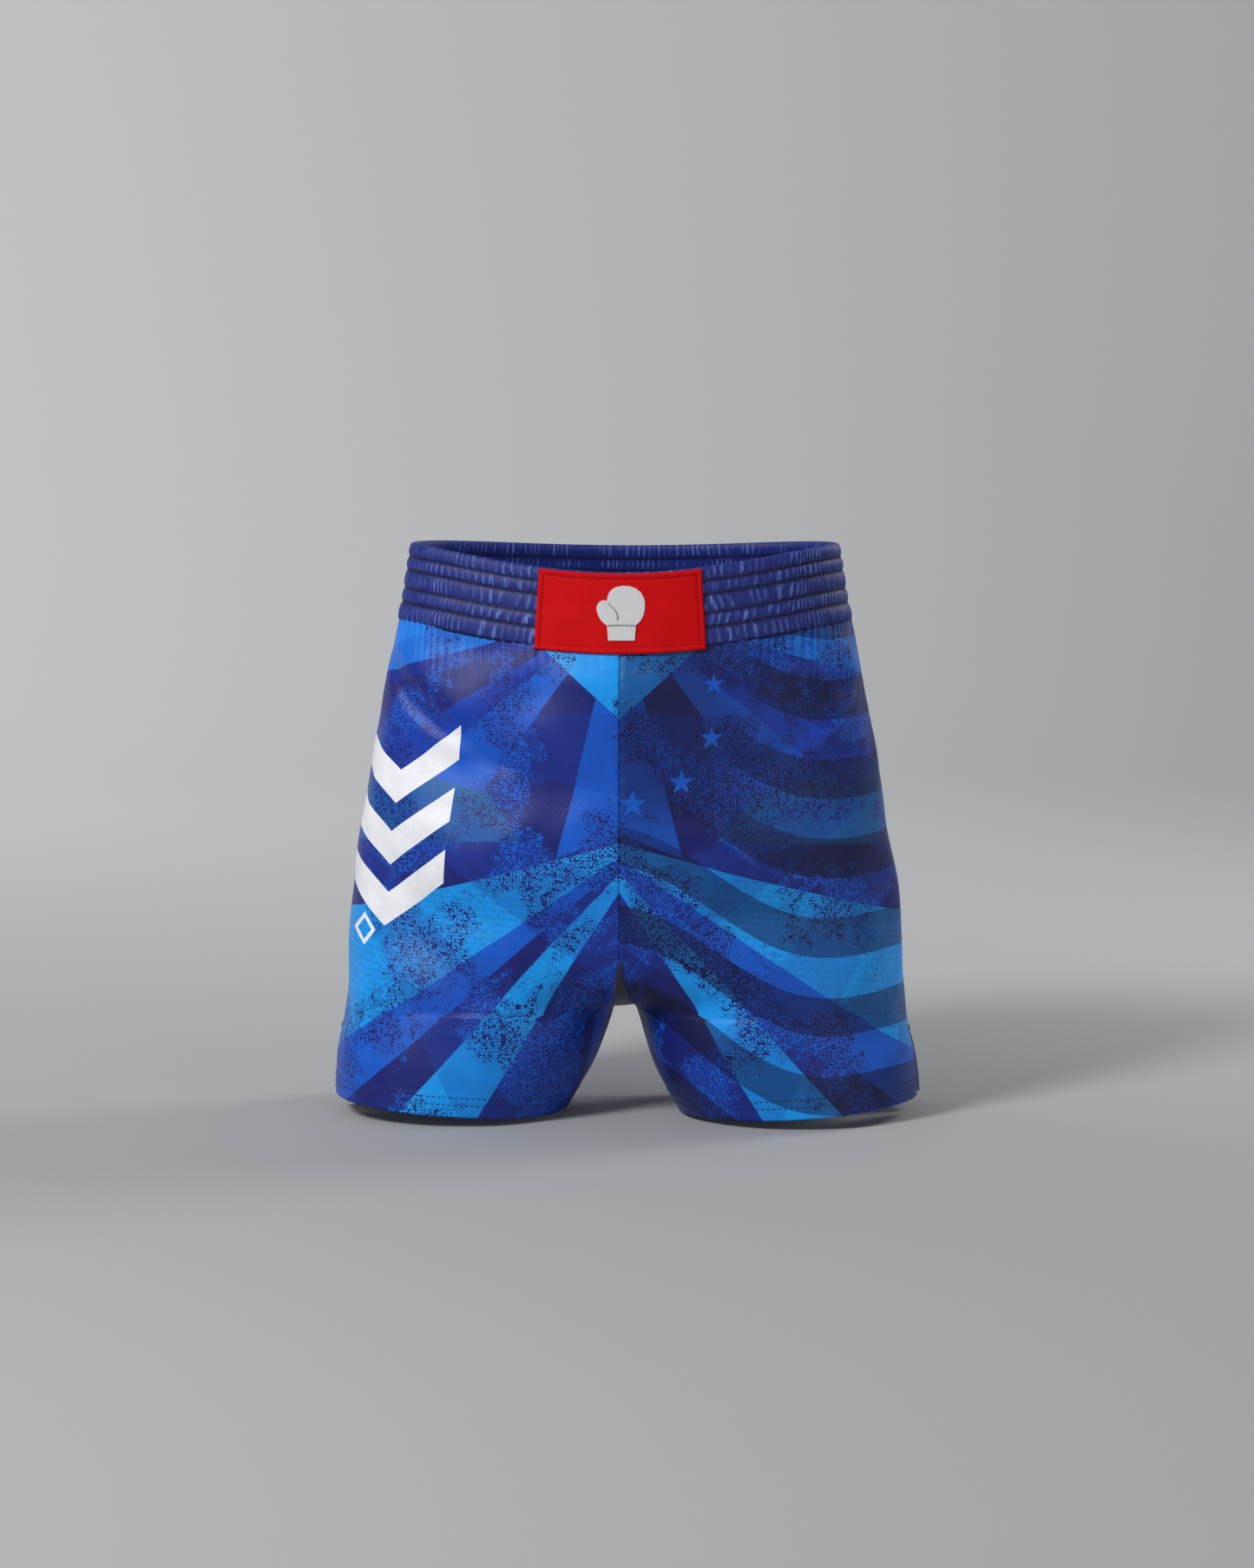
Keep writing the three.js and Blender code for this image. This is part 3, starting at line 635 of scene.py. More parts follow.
def panelGrid(face, run=None):
    # points of one left panel, with the cloth place, seam, edge and print distances of each; the back takes
    # the front's run of the print
    t = np.linspace(0, 1, grid["columns"] + 1)
    foot = waistLine(face, t * np.pi / 2) - body["bandHeight"]
    start = foot + body["lap"]
    top = crotchZ + body["riseCurve"]
    rows = [start + (top - start) * k / grid["bodyRows"] for k in range(grid["bodyRows"])]
    side = smooth(t / 0.6)
    for k in range(grid["riseRows"]):
        left = 1 - k / grid["riseRows"]
        rows.append(crotchZ + body["riseCurve"] * ((1 - side) * left ** 2 + side * left))
    hem = hemLine(t)
    rows += [crotchZ + (hem - crotchZ) * k / grid["legRows"] for k in range(grid["legRows"] + 1)]
    z = np.array(rows)
    z[:, 0] = np.where(np.abs(z[:, 0] - crotchZ) < 1e-6, crotchZ, z[:, 0])
    begin = section(z)[2]
    angle = begin + t[None, :] * (np.pi / 2 - begin)
    points = bodyPoint(face, angle, z)
    steps = np.linalg.norm(np.diff(points, axis=1), axis=2)
    fromSide = np.concatenate([np.cumsum(steps[:, ::-1], 1)[:, ::-1], np.zeros((len(z), 1))], 1)
    a, b = measure("half", z), measure("front", z)
    quarter = np.pi / 4 * (3 * (a + b) - np.sqrt((3 * a + b) * (a + 3 * b)))
    cloth = np.stack([quarter - fromSide, z], -1)
    seam = np.stack([(-1 if face == "front" else 1) * fromSide, fromSide[:, :1] - fromSide], -1)
    edge = np.stack([z - hem, foot - z], -1)
    # where the print lies: as seen from the front, easing onto the cloth's own length where it turns away
    if face == "front":
        turning = 0.38 * smooth((points[:, 1:, 0] / a[:, 1:] - 0.5) / 0.3)
        sideways = np.hypot(np.diff(points[..., 0], axis=1), turning * steps) / np.hypot(1, turning)
        run = np.concatenate([np.zeros((len(z), 1)), np.cumsum(sideways, 1)], 1)
        first = np.argmax(angle >= -1e-9, axis=1)
        every = np.arange(len(z))
        run += (points[every, first, 0] - run[every, first])[:, None]
        run = np.maximum(run, 0.0002)
    printed = np.stack([run, z], -1)
    # the side seam stops short of the hem and its two edges part below
    parted = np.clip(1 - (z - hem) / (body["ventHeight"] + 0.004), 0, 1) ** 1.3
    near = np.clip(1 - fromSide / 0.05, 0, 1) ** 2
    points[..., 1] += (-1 if face == "front" else 1) * body["ventOpening"] / 2 * parted * near
    return points, cloth, seam, edge, printed


panelNames = {0: "left_front_panel", 1: "right_front_panel", 2: "left_back_panel", 3: "right_back_panel"}
gussetNumber = 4


def gridArea(points):
    a, b = points[1:, :-1] - points[:-1, 1:], points[1:, 1:] - points[:-1, :-1]
    return float(np.linalg.norm(np.cross(a, b), axis=2).sum() / 2)


def weldedGarment():
    # every panel and the gusset as one welded sheet, with its cut recorded on the faces
    mesh = bmesh.new()
    layerNames = ("clothPlace", "seamPlace", "edgePlace", "printPlace")
    layers = [mesh.loops.layers.uv.new(name) for name in layerNames]
    panelLayer = mesh.faces.layers.int.new("panel")
    front = panelGrid("front")
    grids = {"front": front, "back": panelGrid("back", run=front[-1][..., 0])}

    def addGrid(points, places, number, flip):
        rows, columns = points.shape[:2]
        verts = [[mesh.verts.new(points[j, i]) for i in range(columns)] for j in range(rows)]
        for j in range(rows - 1):
            for i in range(columns - 1):
                corners = [(j, i), (j, i + 1), (j + 1, i + 1), (j + 1, i)]
                if flip:
                    corners.reverse()
                face = mesh.faces.new([verts[r][c] for r, c in corners])
                face[panelLayer] = number
                for loop, (r, c) in zip(face.loops, corners):
                    for layer, values in zip(layers, places):
                        loop[layer].uv = values[r, c]

    for number, name in panelNames.items():
        side, faceName, _ = name.split("_")
        points, cloth, seam, edge, printed = (array.copy() for array in grids[faceName])
        if side == "right":
            for array in (points, cloth, printed):
                array[..., 0] *= -1
        flip = (side == "left") == (faceName == "front")
        addGrid(points, (cloth, seam, edge, printed), number, flip)

    # the gusset lies between the inner edges of the panels
    tip = grid["bodyRows"] + round(grid["riseRows"] * (1 - body["gussetShare"]))
    foot = grid["bodyRows"] + grid["riseRows"]
    rim = np.concatenate([grids["front"][0][tip:foot + 1, 0], grids["back"][0][tip:foot, 0][::-1]])
    across = np.linspace(-1, 1, grid["gussetColumns"] + 1)
    points = np.repeat(rim[:, None], len(across), 1)
    points[..., 0] *= across
    along = np.concatenate([[0], np.cumsum(np.linalg.norm(np.diff(rim[:, 1:], axis=0), axis=1))])
    cloth = np.stack(np.broadcast_arrays(points[..., 0], along[:, None]), -1)
    far = np.ones_like(cloth)
    addGrid(points, (cloth, far, far, cloth), gussetNumber, flip=True)
    bmesh.ops.remove_doubles(mesh, verts=mesh.verts, dist=0.0002)
    bmesh.ops.dissolve_degenerate(mesh, edges=mesh.edges, dist=1e-6)
    bmesh.ops.recalc_face_normals(mesh, faces=mesh.faces)
    foremost = min(mesh.faces, key=lambda face: face.calc_center_median().y)
    if foremost.normal.y > 0:
        bmesh.ops.reverse_faces(mesh, faces=mesh.faces)
    data = bpy.data.meshes.new("garment")
    mesh.to_mesh(data)
    mesh.free()
    garment = bpy.data.objects.new("garment", data)
    scene.collection.objects.link(garment)
    return garment, grids, (gridArea(points), along[-1])


def allPoints(data):
    values = np.zeros(len(data.vertices) * 3)
    data.vertices.foreach_get("co", values)
    return values.reshape(-1, 3)


def allNormals(data):
    return np.array([v.normal for v in data.vertices])


def setPoints(data, points):
    data.vertices.foreach_set("co", points.ravel())
    data.update()


def vertexPlaces(data, name):
    # a coordinate layer read back as one pair for each vertex
    corners = np.zeros(len(data.loops), dtype=int)
    data.loops.foreach_get("vertex_index", corners)
    values = np.zeros(len(data.loops) * 2, dtype=np.float32)
    data.uv_layers[name].data.foreach_get("uv", values)
    places = np.zeros((len(data.vertices), 2))
    places[corners] = values.reshape(-1, 2)
    return places


def relax(data, field, rounds, share=0.5, hold=None):
    # averages a value over each vertex's neighbours
    edges = np.zeros(len(data.edges) * 2, dtype=int)
    data.edges.foreach_get("vertices", edges)
    a, b = edges.reshape(-1, 2).T
    count = np.zeros(len(field))
    np.add.at(count, a, 1)
    np.add.at(count, b, 1)
    for _ in range(rounds):
        total = np.zeros_like(field)
        np.add.at(total, a, field[b])
        np.add.at(total, b, field[a])
        change = share * (total / np.maximum(count, 1)[:, None] - field)
        field = field + (change if hold is None else change * hold[:, None])
    return field


drape = {
    "frames": 24, "quality": 6, "mass": 0.12, "gravity": 0.30, "pressure": 0.10,
    "hold": 0.30,         # how firmly the cloth keeps to the worn shape
    "fullness": 0.010,    # extra cloth all over
    "gather": 0.050,      # extra cloth gathered into the band
    "gatherDrop": 0.060,  # how far down the gathers run
    "firmHem": 0.030,     # the doubled hem keeps its line up to here
    "mostMove": 0.010,
    "calm": 7,            # rounds of smoothing after the cloth has settled
}


def easeCrotch(data):
    # rounds the step where the legs begin, so that the front runs smoothly into them
    cloth, seam = vertexPlaces(data, "clothPlace"), vertexPlaces(data, "seamPlace")
    near = np.exp(-((cloth[:, 1] - crotchZ - 0.01) / 0.045) ** 2) * (seam[:, 0] != 1)
    near *= smooth(seam[:, 1] / 0.012)
    # points move in depth and then straight out or in, so that the print keeps its lines
    points = allPoints(data)
    points[:, 1:2] = relax(data, points[:, 1:2], 90, 0.5, near)
    setPoints(data, points)
    for _ in range(3):
        points, normals = allPoints(data), allNormals(data)
        moved = relax(data, points, 20, 0.5, near) - points
        setPoints(data, points + normals * (moved * normals).sum(axis=1, keepdims=True))


def simulateDrape(garment):
    data = garment.data
    rest = allPoints(data)
    normals = allNormals(data)
    edge, seam = vertexPlaces(data, "edgePlace"), vertexPlaces(data, "seamPlace")
    rng = np.random.default_rng(7)
    pin, fullness = garment.vertex_groups.new(name="pin"), garment.vertex_groups.new(name="fullness")
    inPanel = seam[:, 0] != 1
    for index in range(len(rest)):
        rise, drop = edge[index] if inPanel[index] else (0.1, 0.3)
        held = drape["hold"] + 0.62 * (1 - smooth(rise / drape["firmHem"]))
        held = max(held, 0.75 if min(abs(seam[index, 0]), seam[index, 1]) < 0.001 else 0)
        held = max(held, 0.95 if rise < body["ventHeight"] + 0.01 and abs(seam[index, 0]) < 0.02 else 0)
        pin.add([index], 1.0 if drop < 0.001 else float(min(held, 0.95)), "REPLACE")
        fullness.add([index], float(1 - smooth((drop - 0.004) / drape["gatherDrop"])), "REPLACE")
    # a slow uneven start, so that the folds choose a way to fall
    shake = relax(data, rng.normal(0, 0.010, (len(rest), 1)), 30)
    shake *= (edge[:, 1:] > 0.004)
    setPoints(data, rest + normals * shake)
    cloth = garment.modifiers.new("cloth", "CLOTH")
    settings = cloth.settings
    settings.quality, settings.mass = drape["quality"], drape["mass"]
    settings.tension_stiffness = settings.compression_stiffness = 22
    settings.shear_stiffness, settings.bending_stiffness = 10, 6
    settings.tension_damping = settings.compression_damping = 10
    settings.air_damping = 2
    settings.vertex_group_mass, settings.pin_stiffness = "pin", 1
    settings.vertex_group_shrink = "fullness"
    settings.shrink_min, settings.shrink_max = -drape["fullness"], -drape["gather"]
    settings.use_pressure, settings.uniform_pressure_force = True, drape["pressure"]
    settings.effector_weights.gravity = drape["gravity"]
    cloth.collision_settings.use_collision = False
    scene.frame_start, scene.frame_end = 1, drape["frames"]
    cloth.point_cache.frame_end = drape["frames"]
    for step in range(1, drape["frames"] + 1):
        scene.frame_set(step)
    shown = garment.evaluated_get(bpy.context.evaluated_depsgraph_get()).to_mesh()
    shift = allPoints(shown) - rest
    garment.modifiers.remove(cloth)
    scene.frame_set(1)
    shift = relax(data, shift, drape["calm"])
    far = np.linalg.norm(shift, axis=1, keepdims=True)
    print(f"drape moved {far.mean() * 1000:.2f} mm on average, {far.max() * 1000:.1f} mm at most")
    shift *= drape["mostMove"] * np.tanh(far / drape["mostMove"]) / np.maximum(far, 1e-9)
    setPoints(data, rest + shift)


def subdivide(piece, levels):
    modifier = piece.modifiers.new("finer", "SUBSURF")
    modifier.levels = modifier.render_levels = levels
    modifier.uv_smooth = "NONE"
    modifier.boundary_smooth = "PRESERVE_CORNERS"
    applyModifiers(piece)


# creases and soft folds pressed into the cloth: side (-1 wearer's right, 1 left, 0 both), then from and to in
# metres across and down, half width, and how far the cloth is pushed out (+) or in (-)
folds = [
    (-1, (0.225, 0.095), (0.135, 0.155), 0.008, -0.0030),
    (-1, (0.205, 0.085), (0.115, 0.135), 0.013, 0.0024),
    (-1, (0.140, 0.150), (0.085, 0.175), 0.010, -0.0020),
    (1, (0.235, 0.085), (0.165, 0.160), 0.013, 0.0030),
    (1, (0.215, 0.105), (0.125, 0.165), 0.010, -0.0026),
    (1, (0.120, 0.085), (0.085, 0.150), 0.010, 0.0020),
    (0, (0.030, 0.100), (0.070, 0.165), 0.016, 0.0016),
    (0, (0.020, 0.205), (0.190, 0.185), 0.017, -0.0030),
    (0, (0.060, 0.245), (0.230, 0.255), 0.026, 0.0024),
    (0, (0.010, 0.330), (0.190, 0.318), 0.020, -0.0036),
    (0, (0.020, 0.352), (0.110, 0.420), 0.018, 0.0022),
    (0, (0.015, 0.320), (0.080, 0.245), 0.012, -0.0020),
    (0, (0.190, 0.340), (0.230, 0.450), 0.024, 0.0018),
]
backFolds = [
    (0, (0.015, 0.330), (0.120, 0.275), 0.012, -0.0030),
    (0, (0.020, 0.350), (0.160, 0.330), 0.014, -0.0026),
    (1, (0.210, 0.100), (0.110, 0.170), 0.013, 0.0026),
    (-1, (0.200, 0.090), (0.140, 0.180), 0.012, 0.0026),
    (0, (0.060, 0.240), (0.200, 0.230), 0.028, 0.0026),
    (0, (0.120, 0.360), (0.140, 0.460), 0.020, 0.0018),
]


foldStrength = 1.5


def foldHeight(across, down, side, listed):
    height = np.zeros(len(across))
    for which, (x0, y0), (x1, y1), width, depth in listed:
        length = math.hypot(x1 - x0, y1 - y0)
        ux, uy = (x1 - x0) / length, (y1 - y0) / length
        along = ((across - x0) * ux + (down - y0) * uy) / length
        off = (across - x0) * -uy + (down - y0) * ux
        off = off + 0.010 * np.sin(along * 2.4)
        taper = smooth((along + 0.15) / 0.4) * smooth((1.15 - along) / 0.4)
        # the lower side of each fold falls away more softly than the upper one
        spread = np.where(off > 0, width * 1.7, width)
        fits = 1.0 if which == 0 else (side * which > 0)
        height += foldStrength * depth * np.exp(-(off / spread) ** 2) * taper * fits
    return height


gathers = {"pitch": 0.0105, "sidePitch": 0.0065, "depth": 0.0009, "fade": 0.024}


def foldCloth(garment):
    data = garment.data
    points, normals = allPoints(data), allNormals(data)
    cloth, seam, edge = (vertexPlaces(data, name) for name in ("clothPlace", "seamPlace", "edgePlace"))
    panel = seam[:, 0] != 1
    across, down, side = np.abs(cloth[:, 0]), -cloth[:, 1], np.sign(cloth[:, 0])
    onBack = seam[:, 0] > 0
    onFrontHeight, onBackHeight = (foldHeight(across, down, side, listed) for listed in (folds, backFolds))
    height = np.where(onBack, onBackHeight, onFrontHeight)
    # folds fade where the back and front lists meet at the side seam, and towards the firm hem
    height *= smooth(np.abs(seam[:, 0]) / 0.030) * (0.35 + 0.65 * smooth(edge[:, 0] / 0.035))
    # small upright gathers under the band
    rng = np.random.default_rng(11)
    line = np.linspace(-0.32, 0.32, 641)
    for facing in (False, True):
        nearSide = smooth((np.abs(line) - 0.06) / 0.12)
        pitch = gathers["pitch"] + (gathers["sidePitch"] - gathers["pitch"]) * nearSide
        phase = np.cumsum(0.001 / pitch * (0.55 + 0.9 * softNoise(rng, len(line), 14)))
        size = 0.25 + 0.75 * softNoise(rng, len(line), 18)
        reach = gathers["fade"] * (0.6 + 0.9 * softNoise(rng, len(line), 12))
        here = onBack == facing
        turn = np.interp(cloth[here, 0], line, phase)
        fall = edge[here, 1] / np.interp(cloth[here, 0], line, reach)
        wave = np.cos(2 * np.pi * turn) * np.interp(cloth[here, 0], line, size)
        flat = 1.0 if facing else 0.2 + 0.8 * smooth((across[here] - 0.05) / 0.04)
        height[here] += gathers["depth"] * flat * wave * np.exp(-np.clip(fall, 0, None) ** 1.4)
    # the cloth swells a little just below the band, and each seam draws in
    height += 0.0022 * np.exp(-((edge[:, 1] - 0.020) / 0.018) ** 2)
    seamGap = np.minimum(np.abs(seam[:, 0]) + 0.02 * (edge[:, 0] < body["ventHeight"]), seam[:, 1])
    pucker = 1 + 0.35 * np.sin(down * 2 * np.pi / 0.011)
    height -= 0.0007 * pucker * np.exp(-(seamGap / 0.0022) ** 2)
    # the doubled hem stands a touch thicker
    height += 0.0004 * smooth((body["hemDepth"] - edge[:, 0]) / 0.002)
    height = np.where(panel, height, 0)
    setPoints(data, points + normals * height[:, None])


sheets = {"thickness": 0.0007, "hemThickness": 0.0014, "shrinkOfCut": 1.02}


def cutPanel(garment, number, name):
    mesh = bmesh.new()
    mesh.from_mesh(garment.data)
    layer = mesh.faces.layers.int["panel"]
    bmesh.ops.delete(mesh, geom=[f for f in mesh.faces if f[layer] != number], context="FACES")
    data = bpy.data.meshes.new(name)
    mesh.to_mesh(data)
    mesh.free()
    piece = bpy.data.objects.new(name, data)
    scene.collection.objects.link(piece)
    edge = vertexPlaces(data, "edgePlace")
    group = piece.vertex_groups.new(name="thick")
    thin = sheets["thickness"] / sheets["hemThickness"]
    for index, rise in enumerate(edge[:, 0]):
        group.add([index], 1.0 if rise < body["hemDepth"] else thin, "REPLACE")
    modifier = piece.modifiers.new("cloth", "SOLIDIFY")
    modifier.thickness, modifier.offset = sheets["hemThickness"], -1
    modifier.vertex_group = "thick"
    modifier.material_offset = 1
    piece.data.materials.append(gussetSatinAndShade if number == gussetNumber else printedSatin)
    piece.data.materials.append(satinReverse)
    applyModifiers(piece)
    piece.data.polygons.foreach_set("use_smooth", [True] * len(piece.data.polygons))
    # the cut edges of the side vents show the pale reverse
    ventTop = hemLine(1.0) + body["ventHeight"]
    for face in piece.data.polygons:
        nearSide = abs(face.center.x) > 0.9 * bodySizes["half"][0]
        if face.center.z < ventTop and nearSide and abs(face.normal.y) > 0.75:
            face.material_index = 1
    return piece


garment, cuts, gussetCut = weldedGarment()
print("garment cut:", len(garment.data.polygons), "faces")
easeCrotch(garment.data)
simulateDrape(garment)
subdivide(garment, grid["finer"])
foldCloth(garment)
outside = BVHTree.FromPolygons([tuple(p) for p in allPoints(garment.data)],
                               [tuple(f.vertices) for f in garment.data.polygons])
print("garment draped:", len(garment.data.polygons), "faces")

printedSatin = makePrintedSatin()
satinReverse = makeWovenMaterial("satinReverse", paint(150, 168, 205), "clothPlace", 760.0, 0.0005,
                                 roughness=0.6, sheen=0.2)
# the gusset's own dark navy, deepened towards black as painted shade between the legs
gussetSatinAndShade = makeWovenMaterial("gussetSatinAndShade", paint(9, 13, 52), "clothPlace", 760.0, 0.0005,
                                roughness=0.5, sheen=0.25)
for number, name in panelNames.items():
    piece = cutPanel(garment, number, name + "_cloth")
    place(piece, "printed_satin", [name])
gusset = cutPanel(garment, gussetNumber, "crotch_gusset_cloth")
place(gusset, "gusset_cloth", ["crotch_gusset"])
bpy.data.objects.remove(garment)
print("panels and gusset made")


# the gathered waistband: five stitched channels, folded over at the top and stitched down inside
band = {
    "channels": (0.0115, 0.0110, 0.0155, 0.0115, 0.0165),
    "columns": 1000, "rows": 6, "innerRows": 2, "foldRows": 4,
    "foldDrop": 0.0024,      # the rolled top edge
    "groove": 0.0003, "bulge": 0.0015, "gather": 0.0012,
    "innerWall": 0.0033, "innerBulge": 0.0006, "innerGather": 0.0003,
    "frontPitch": 0.0078, "backPitch": 0.0050, "sidePitch": 0.0026,
    "cut": (1.10, 0.15),     # before gathering and folding
    "thickness": 0.0004,
}


def bandRing(count):
    # angles round the waist from the centre front towards the wearer's left, evenly spaced along the cloth
    fine = np.linspace(0, 2 * np.pi, 6001)
    points = bandPoint(fine, body["bandHeight"] / 2, 0)
    length = np.concatenate([[0], np.cumsum(np.linalg.norm(np.diff(points, axis=0), axis=1))])
    return np.interp(np.arange(count) * length[-1] / count, length, fine), length[-1]


def bandPoint(turn, down, out):
    # a point on the band: turn round the waist, distance down from its edge, and out from the body surface
    turn, down, out = np.broadcast_arrays(turn, down, out)
    cosine = np.cos(turn)
    dip = np.where(cosine > 0, body["frontDip"], body["backDip"])
    z = -dip * np.abs(cosine) ** 3 - down
    half = measure("half", z)
    depth = np.where(cosine > 0, measure("front", z), measure("back", z))
    x, y = half * np.sin(turn), -depth * cosine
    nx, ny = np.sin(turn) / half, -cosine / depth
    size = np.hypot(nx, ny)
    return np.stack([x + out * nx / size, y + out * ny / size, z], -1)


def gatherLine(rng, turn, spacing):
    # one channel's gathers: close and even at the sides, wider and uneven near the label
    nearSide = smooth((np.abs(np.sin(turn)) - 0.62) / 0.30)
    wide = np.where(np.cos(turn) > 0, band["frontPitch"], band["backPitch"])
    pitch = wide + (band["sidePitch"] - wide) * nearSide
    count = len(turn)
    phase = np.cumsum(spacing / pitch * (0.5 + softNoise(rng, count, 11)))
    size = 0.2 + 0.8 * softNoise(rng, count, 9)
    size = size * (1 - nearSide) + (0.45 + 0.3 * size) * nearSide
    slant = (softNoise(rng, count, 60) - 0.5) * 1.6
    return phase, size, slant


def makeCasing():
    turn, length = bandRing(band["columns"])
    spacing = length / band["columns"]
    rng = np.random.default_rng(5)
    tops = np.concatenate([[0], np.cumsum(band["channels"])])
    rows, ridgeAndGrooveShading = [], []

    def wallRow(channel, share, outward, down):
        phase, size, slant = lines[channel]
        swell = math.sin(math.pi * share) ** 0.6 if 0 < share < 1 else 0.0
        crest = (0.5 + 0.5 * np.cos(2 * np.pi * (phase + slant * (share - 0.5)))) ** 1.4 * size
        fade = math.sin(math.pi * share) ** 0.5 if 0 < share < 1 else 0.0
        if outward:
            out = band["groove"] + band["bulge"] * swell + band["gather"] * (crest - 0.3) * fade
        else:
            out = -band["innerWall"] - band["innerBulge"] * swell - band["innerGather"] * crest * fade
        rows.append((down, out))
        # the first value places the painted highlight on the gather crests; the second, the distance from the
        # stitched grooves, places the painted shade
        fromGroove = np.full(len(crest), min(share, 1 - share))
        ridgeAndGrooveShading.append(np.stack([crest * (0.35 + 0.65 * fade), fromGroove], -1))

    lines = [gatherLine(rng, turn, spacing) for _ in band["channels"]]
    for channel in reversed(range(len(band["channels"]))):
        height = band["channels"][channel]
        first = band["foldDrop"] / height if channel == 0 else 0.0
        for k in range(band["rows"]):
            share = 1 - k / band["rows"] * (1 - first)
            wallRow(channel, share, True, tops[channel] + share * height)
    first = band["foldDrop"] / band["channels"][0]
    wallRow(0, first, True, band["foldDrop"])
    outTop = rows[-1][1]
    crestTop = ridgeAndGrooveShading[-1]
    for k in range(1, band["foldRows"]):
        bend = math.pi * k / band["foldRows"]
        middle, reach = (outTop - band["innerWall"]) / 2, (outTop + band["innerWall"]) / 2
        rows.append((band["foldDrop"] * (1 - math.sin(bend)), middle + reach * math.cos(bend)))
        ridgeAndGrooveShading.append(crestTop)
    for channel in range(len(band["channels"])):
        height = band["channels"][channel]
        begin = band["foldDrop"] / height if channel == 0 else 0.0
        for k in range(band["innerRows"] + (channel == len(band["channels"]) - 1)):
            share = begin + k / band["innerRows"] * (1 - begin)
            wallRow(channel, share, False, tops[channel] + share * height)
    points = np.concatenate([bandPoint(turn, down, out) for down, out in rows])
    casing = meshPiece("waistband_cloth", points, gridFaces(len(rows), band["columns"], closed=True))
    across = np.arange(band["columns"]) * spacing
    downs = np.cumsum([0.0] + [0.0025] * (len(rows) - 1))
    addPlaces(casing, "bandPlace", np.stack(np.meshgrid(across, downs), -1).reshape(-1, 2))
    addPlaces(casing, "bandHighlightAndShade", np.concatenate(ridgeAndGrooveShading))
    modifier = casing.modifiers.new("cloth", "SOLIDIFY")
    modifier.thickness, modifier.offset = band["thickness"], 1 if facesInward(casing) else -1
    applyModifiers(casing)
    place(casing, "band_cloth", ["waistband_casing"], makeBandSatin())
    print("waistband:", len(casing.data.polygons), "faces")


def facesInward(piece):
    # whether the first faces look towards the middle of the waist
    face = piece.data.polygons[0]
    return face.normal.dot(Vector((face.center.x, face.center.y, 0))) < 0


def stitchRow(name, points, normals, stitchLength, gap, width, rise):
    # separate stitches laid along a line, each a short plump thread that dips into the cloth at both ends
    steps = np.linalg.norm(np.diff(points, axis=0), axis=1)
    along = np.concatenate([[0], np.cumsum(steps)])
    count = int(along[-1] / (stitchLength + gap))
    pitch = along[-1] / count
    rings, sides = 5, 6
    verts, faces = [], []
    lift = np.sin(np.linspace(0.12, math.pi - 0.12, rings))
    thick = width / 2 * (0.55 + 0.45 * lift)

    def sample(values, where):
        return np.stack([np.interp(where, along, values[:, k]) for k in range(3)], -1)

    for number in range(count):
        begin = number * pitch + gap / 2
        where = begin + np.linspace(0, pitch - gap, rings)
        centre = sample(points, where)
        up = sample(normals, where)
        up /= np.linalg.norm(up, axis=1, keepdims=True)
        run = centre[-1] - centre[0]
        run /= np.linalg.norm(run)
        base = len(verts)
        for k in range(rings):
            aside = np.cross(run, up[k])
            heart = centre[k] + up[k] * (rise * (lift[k] - 0.35))
            for s in range(sides):
                a = 2 * math.pi * s / sides
                verts.append(heart + thick[k] * (aside * math.cos(a) + up[k] * math.sin(a) * 0.8))
        for k in range(rings - 1):
            for s in range(sides):
                t = (s + 1) % sides
                faces.append((base + k * sides + s, base + k * sides + t,
                              base + (k + 1) * sides + t, base + (k + 1) * sides + s))
        faces.append(tuple(base + s for s in reversed(range(sides))))
        faces.append(tuple(base + (rings - 1) * sides + s for s in range(sides)))
    return meshPiece(name, verts, faces)


stitches = {"bandLength": 0.0026, "bandGap": 0.0009, "bandWidth": 0.0007, "joinRise": 0.002,
            "hemLength": 0.0028, "hemGap": 0.0020, "hemWidth": 0.0008,
            "labelLength": 0.0022, "labelGap": 0.0010, "labelWidth": 0.0006, "labelInset": 0.0045}


def bandLine(down, out, count=1200):
    turn = np.linspace(0, 2 * np.pi, count + 1)
    points = bandPoint(turn, down, out)
    normals = bandPoint(turn, down, out + 0.01) - points
    return points, normals


def makeBandStitches():
    thread = makeThread("bandThread", paint(26, 30, 98))
    edges = np.cumsum(band["channels"])
    for number, down in enumerate(edges[:-1], start=1):
        points, normals = bandLine(down, band["groove"] + 0.0002)
        row = stitchRow(f"channel_stitches_{number}", points, normals, stitches["bandLength"],
                        stitches["bandGap"], stitches["bandWidth"], 0.0004)
        place(row, "band_thread", [f"channel_stitch_{number}"], thread)
    share = 1 - stitches["joinRise"] / band["channels"][-1]
    out = band["groove"] + band["bulge"] * math.sin(math.pi * share) ** 0.6
    points, normals = bandLine(body["bandHeight"] - stitches["joinRise"], out)
    row = stitchRow("join_stitches", points, normals, stitches["bandLength"], stitches["bandGap"],
                    stitches["bandWidth"], 0.0004)
    place(row, "band_thread", ["waistband_join_stitch"], thread)


label = {"width": labelHigh.x - labelLow.x, "top": 0.001, "back": 0.0027, "thickness": 0.0010,
         "edge": 0.0016, "columns": 150, "rows": 72, "rim": 0.0003}


def labelPoint(across, down, out):
    # across from the label's middle and down from its top edge, on the front of the band
    turn = np.interp(across, labelRun, labelTurn)
    return bandPoint(turn, label["top"] + down, out)


labelTurn = np.linspace(-0.6, 0.6, 400)
labelRun = bandPoint(labelTurn, body["bandHeight"] / 2, label["back"])
labelRun = np.concatenate([[0], np.cumsum(np.linalg.norm(np.diff(labelRun, axis=0), axis=1))])
labelRun -= labelRun[-1] / 2
labelSize = (label["width"] * 1.012, body["bandHeight"] - label["top"] + 0.0015)


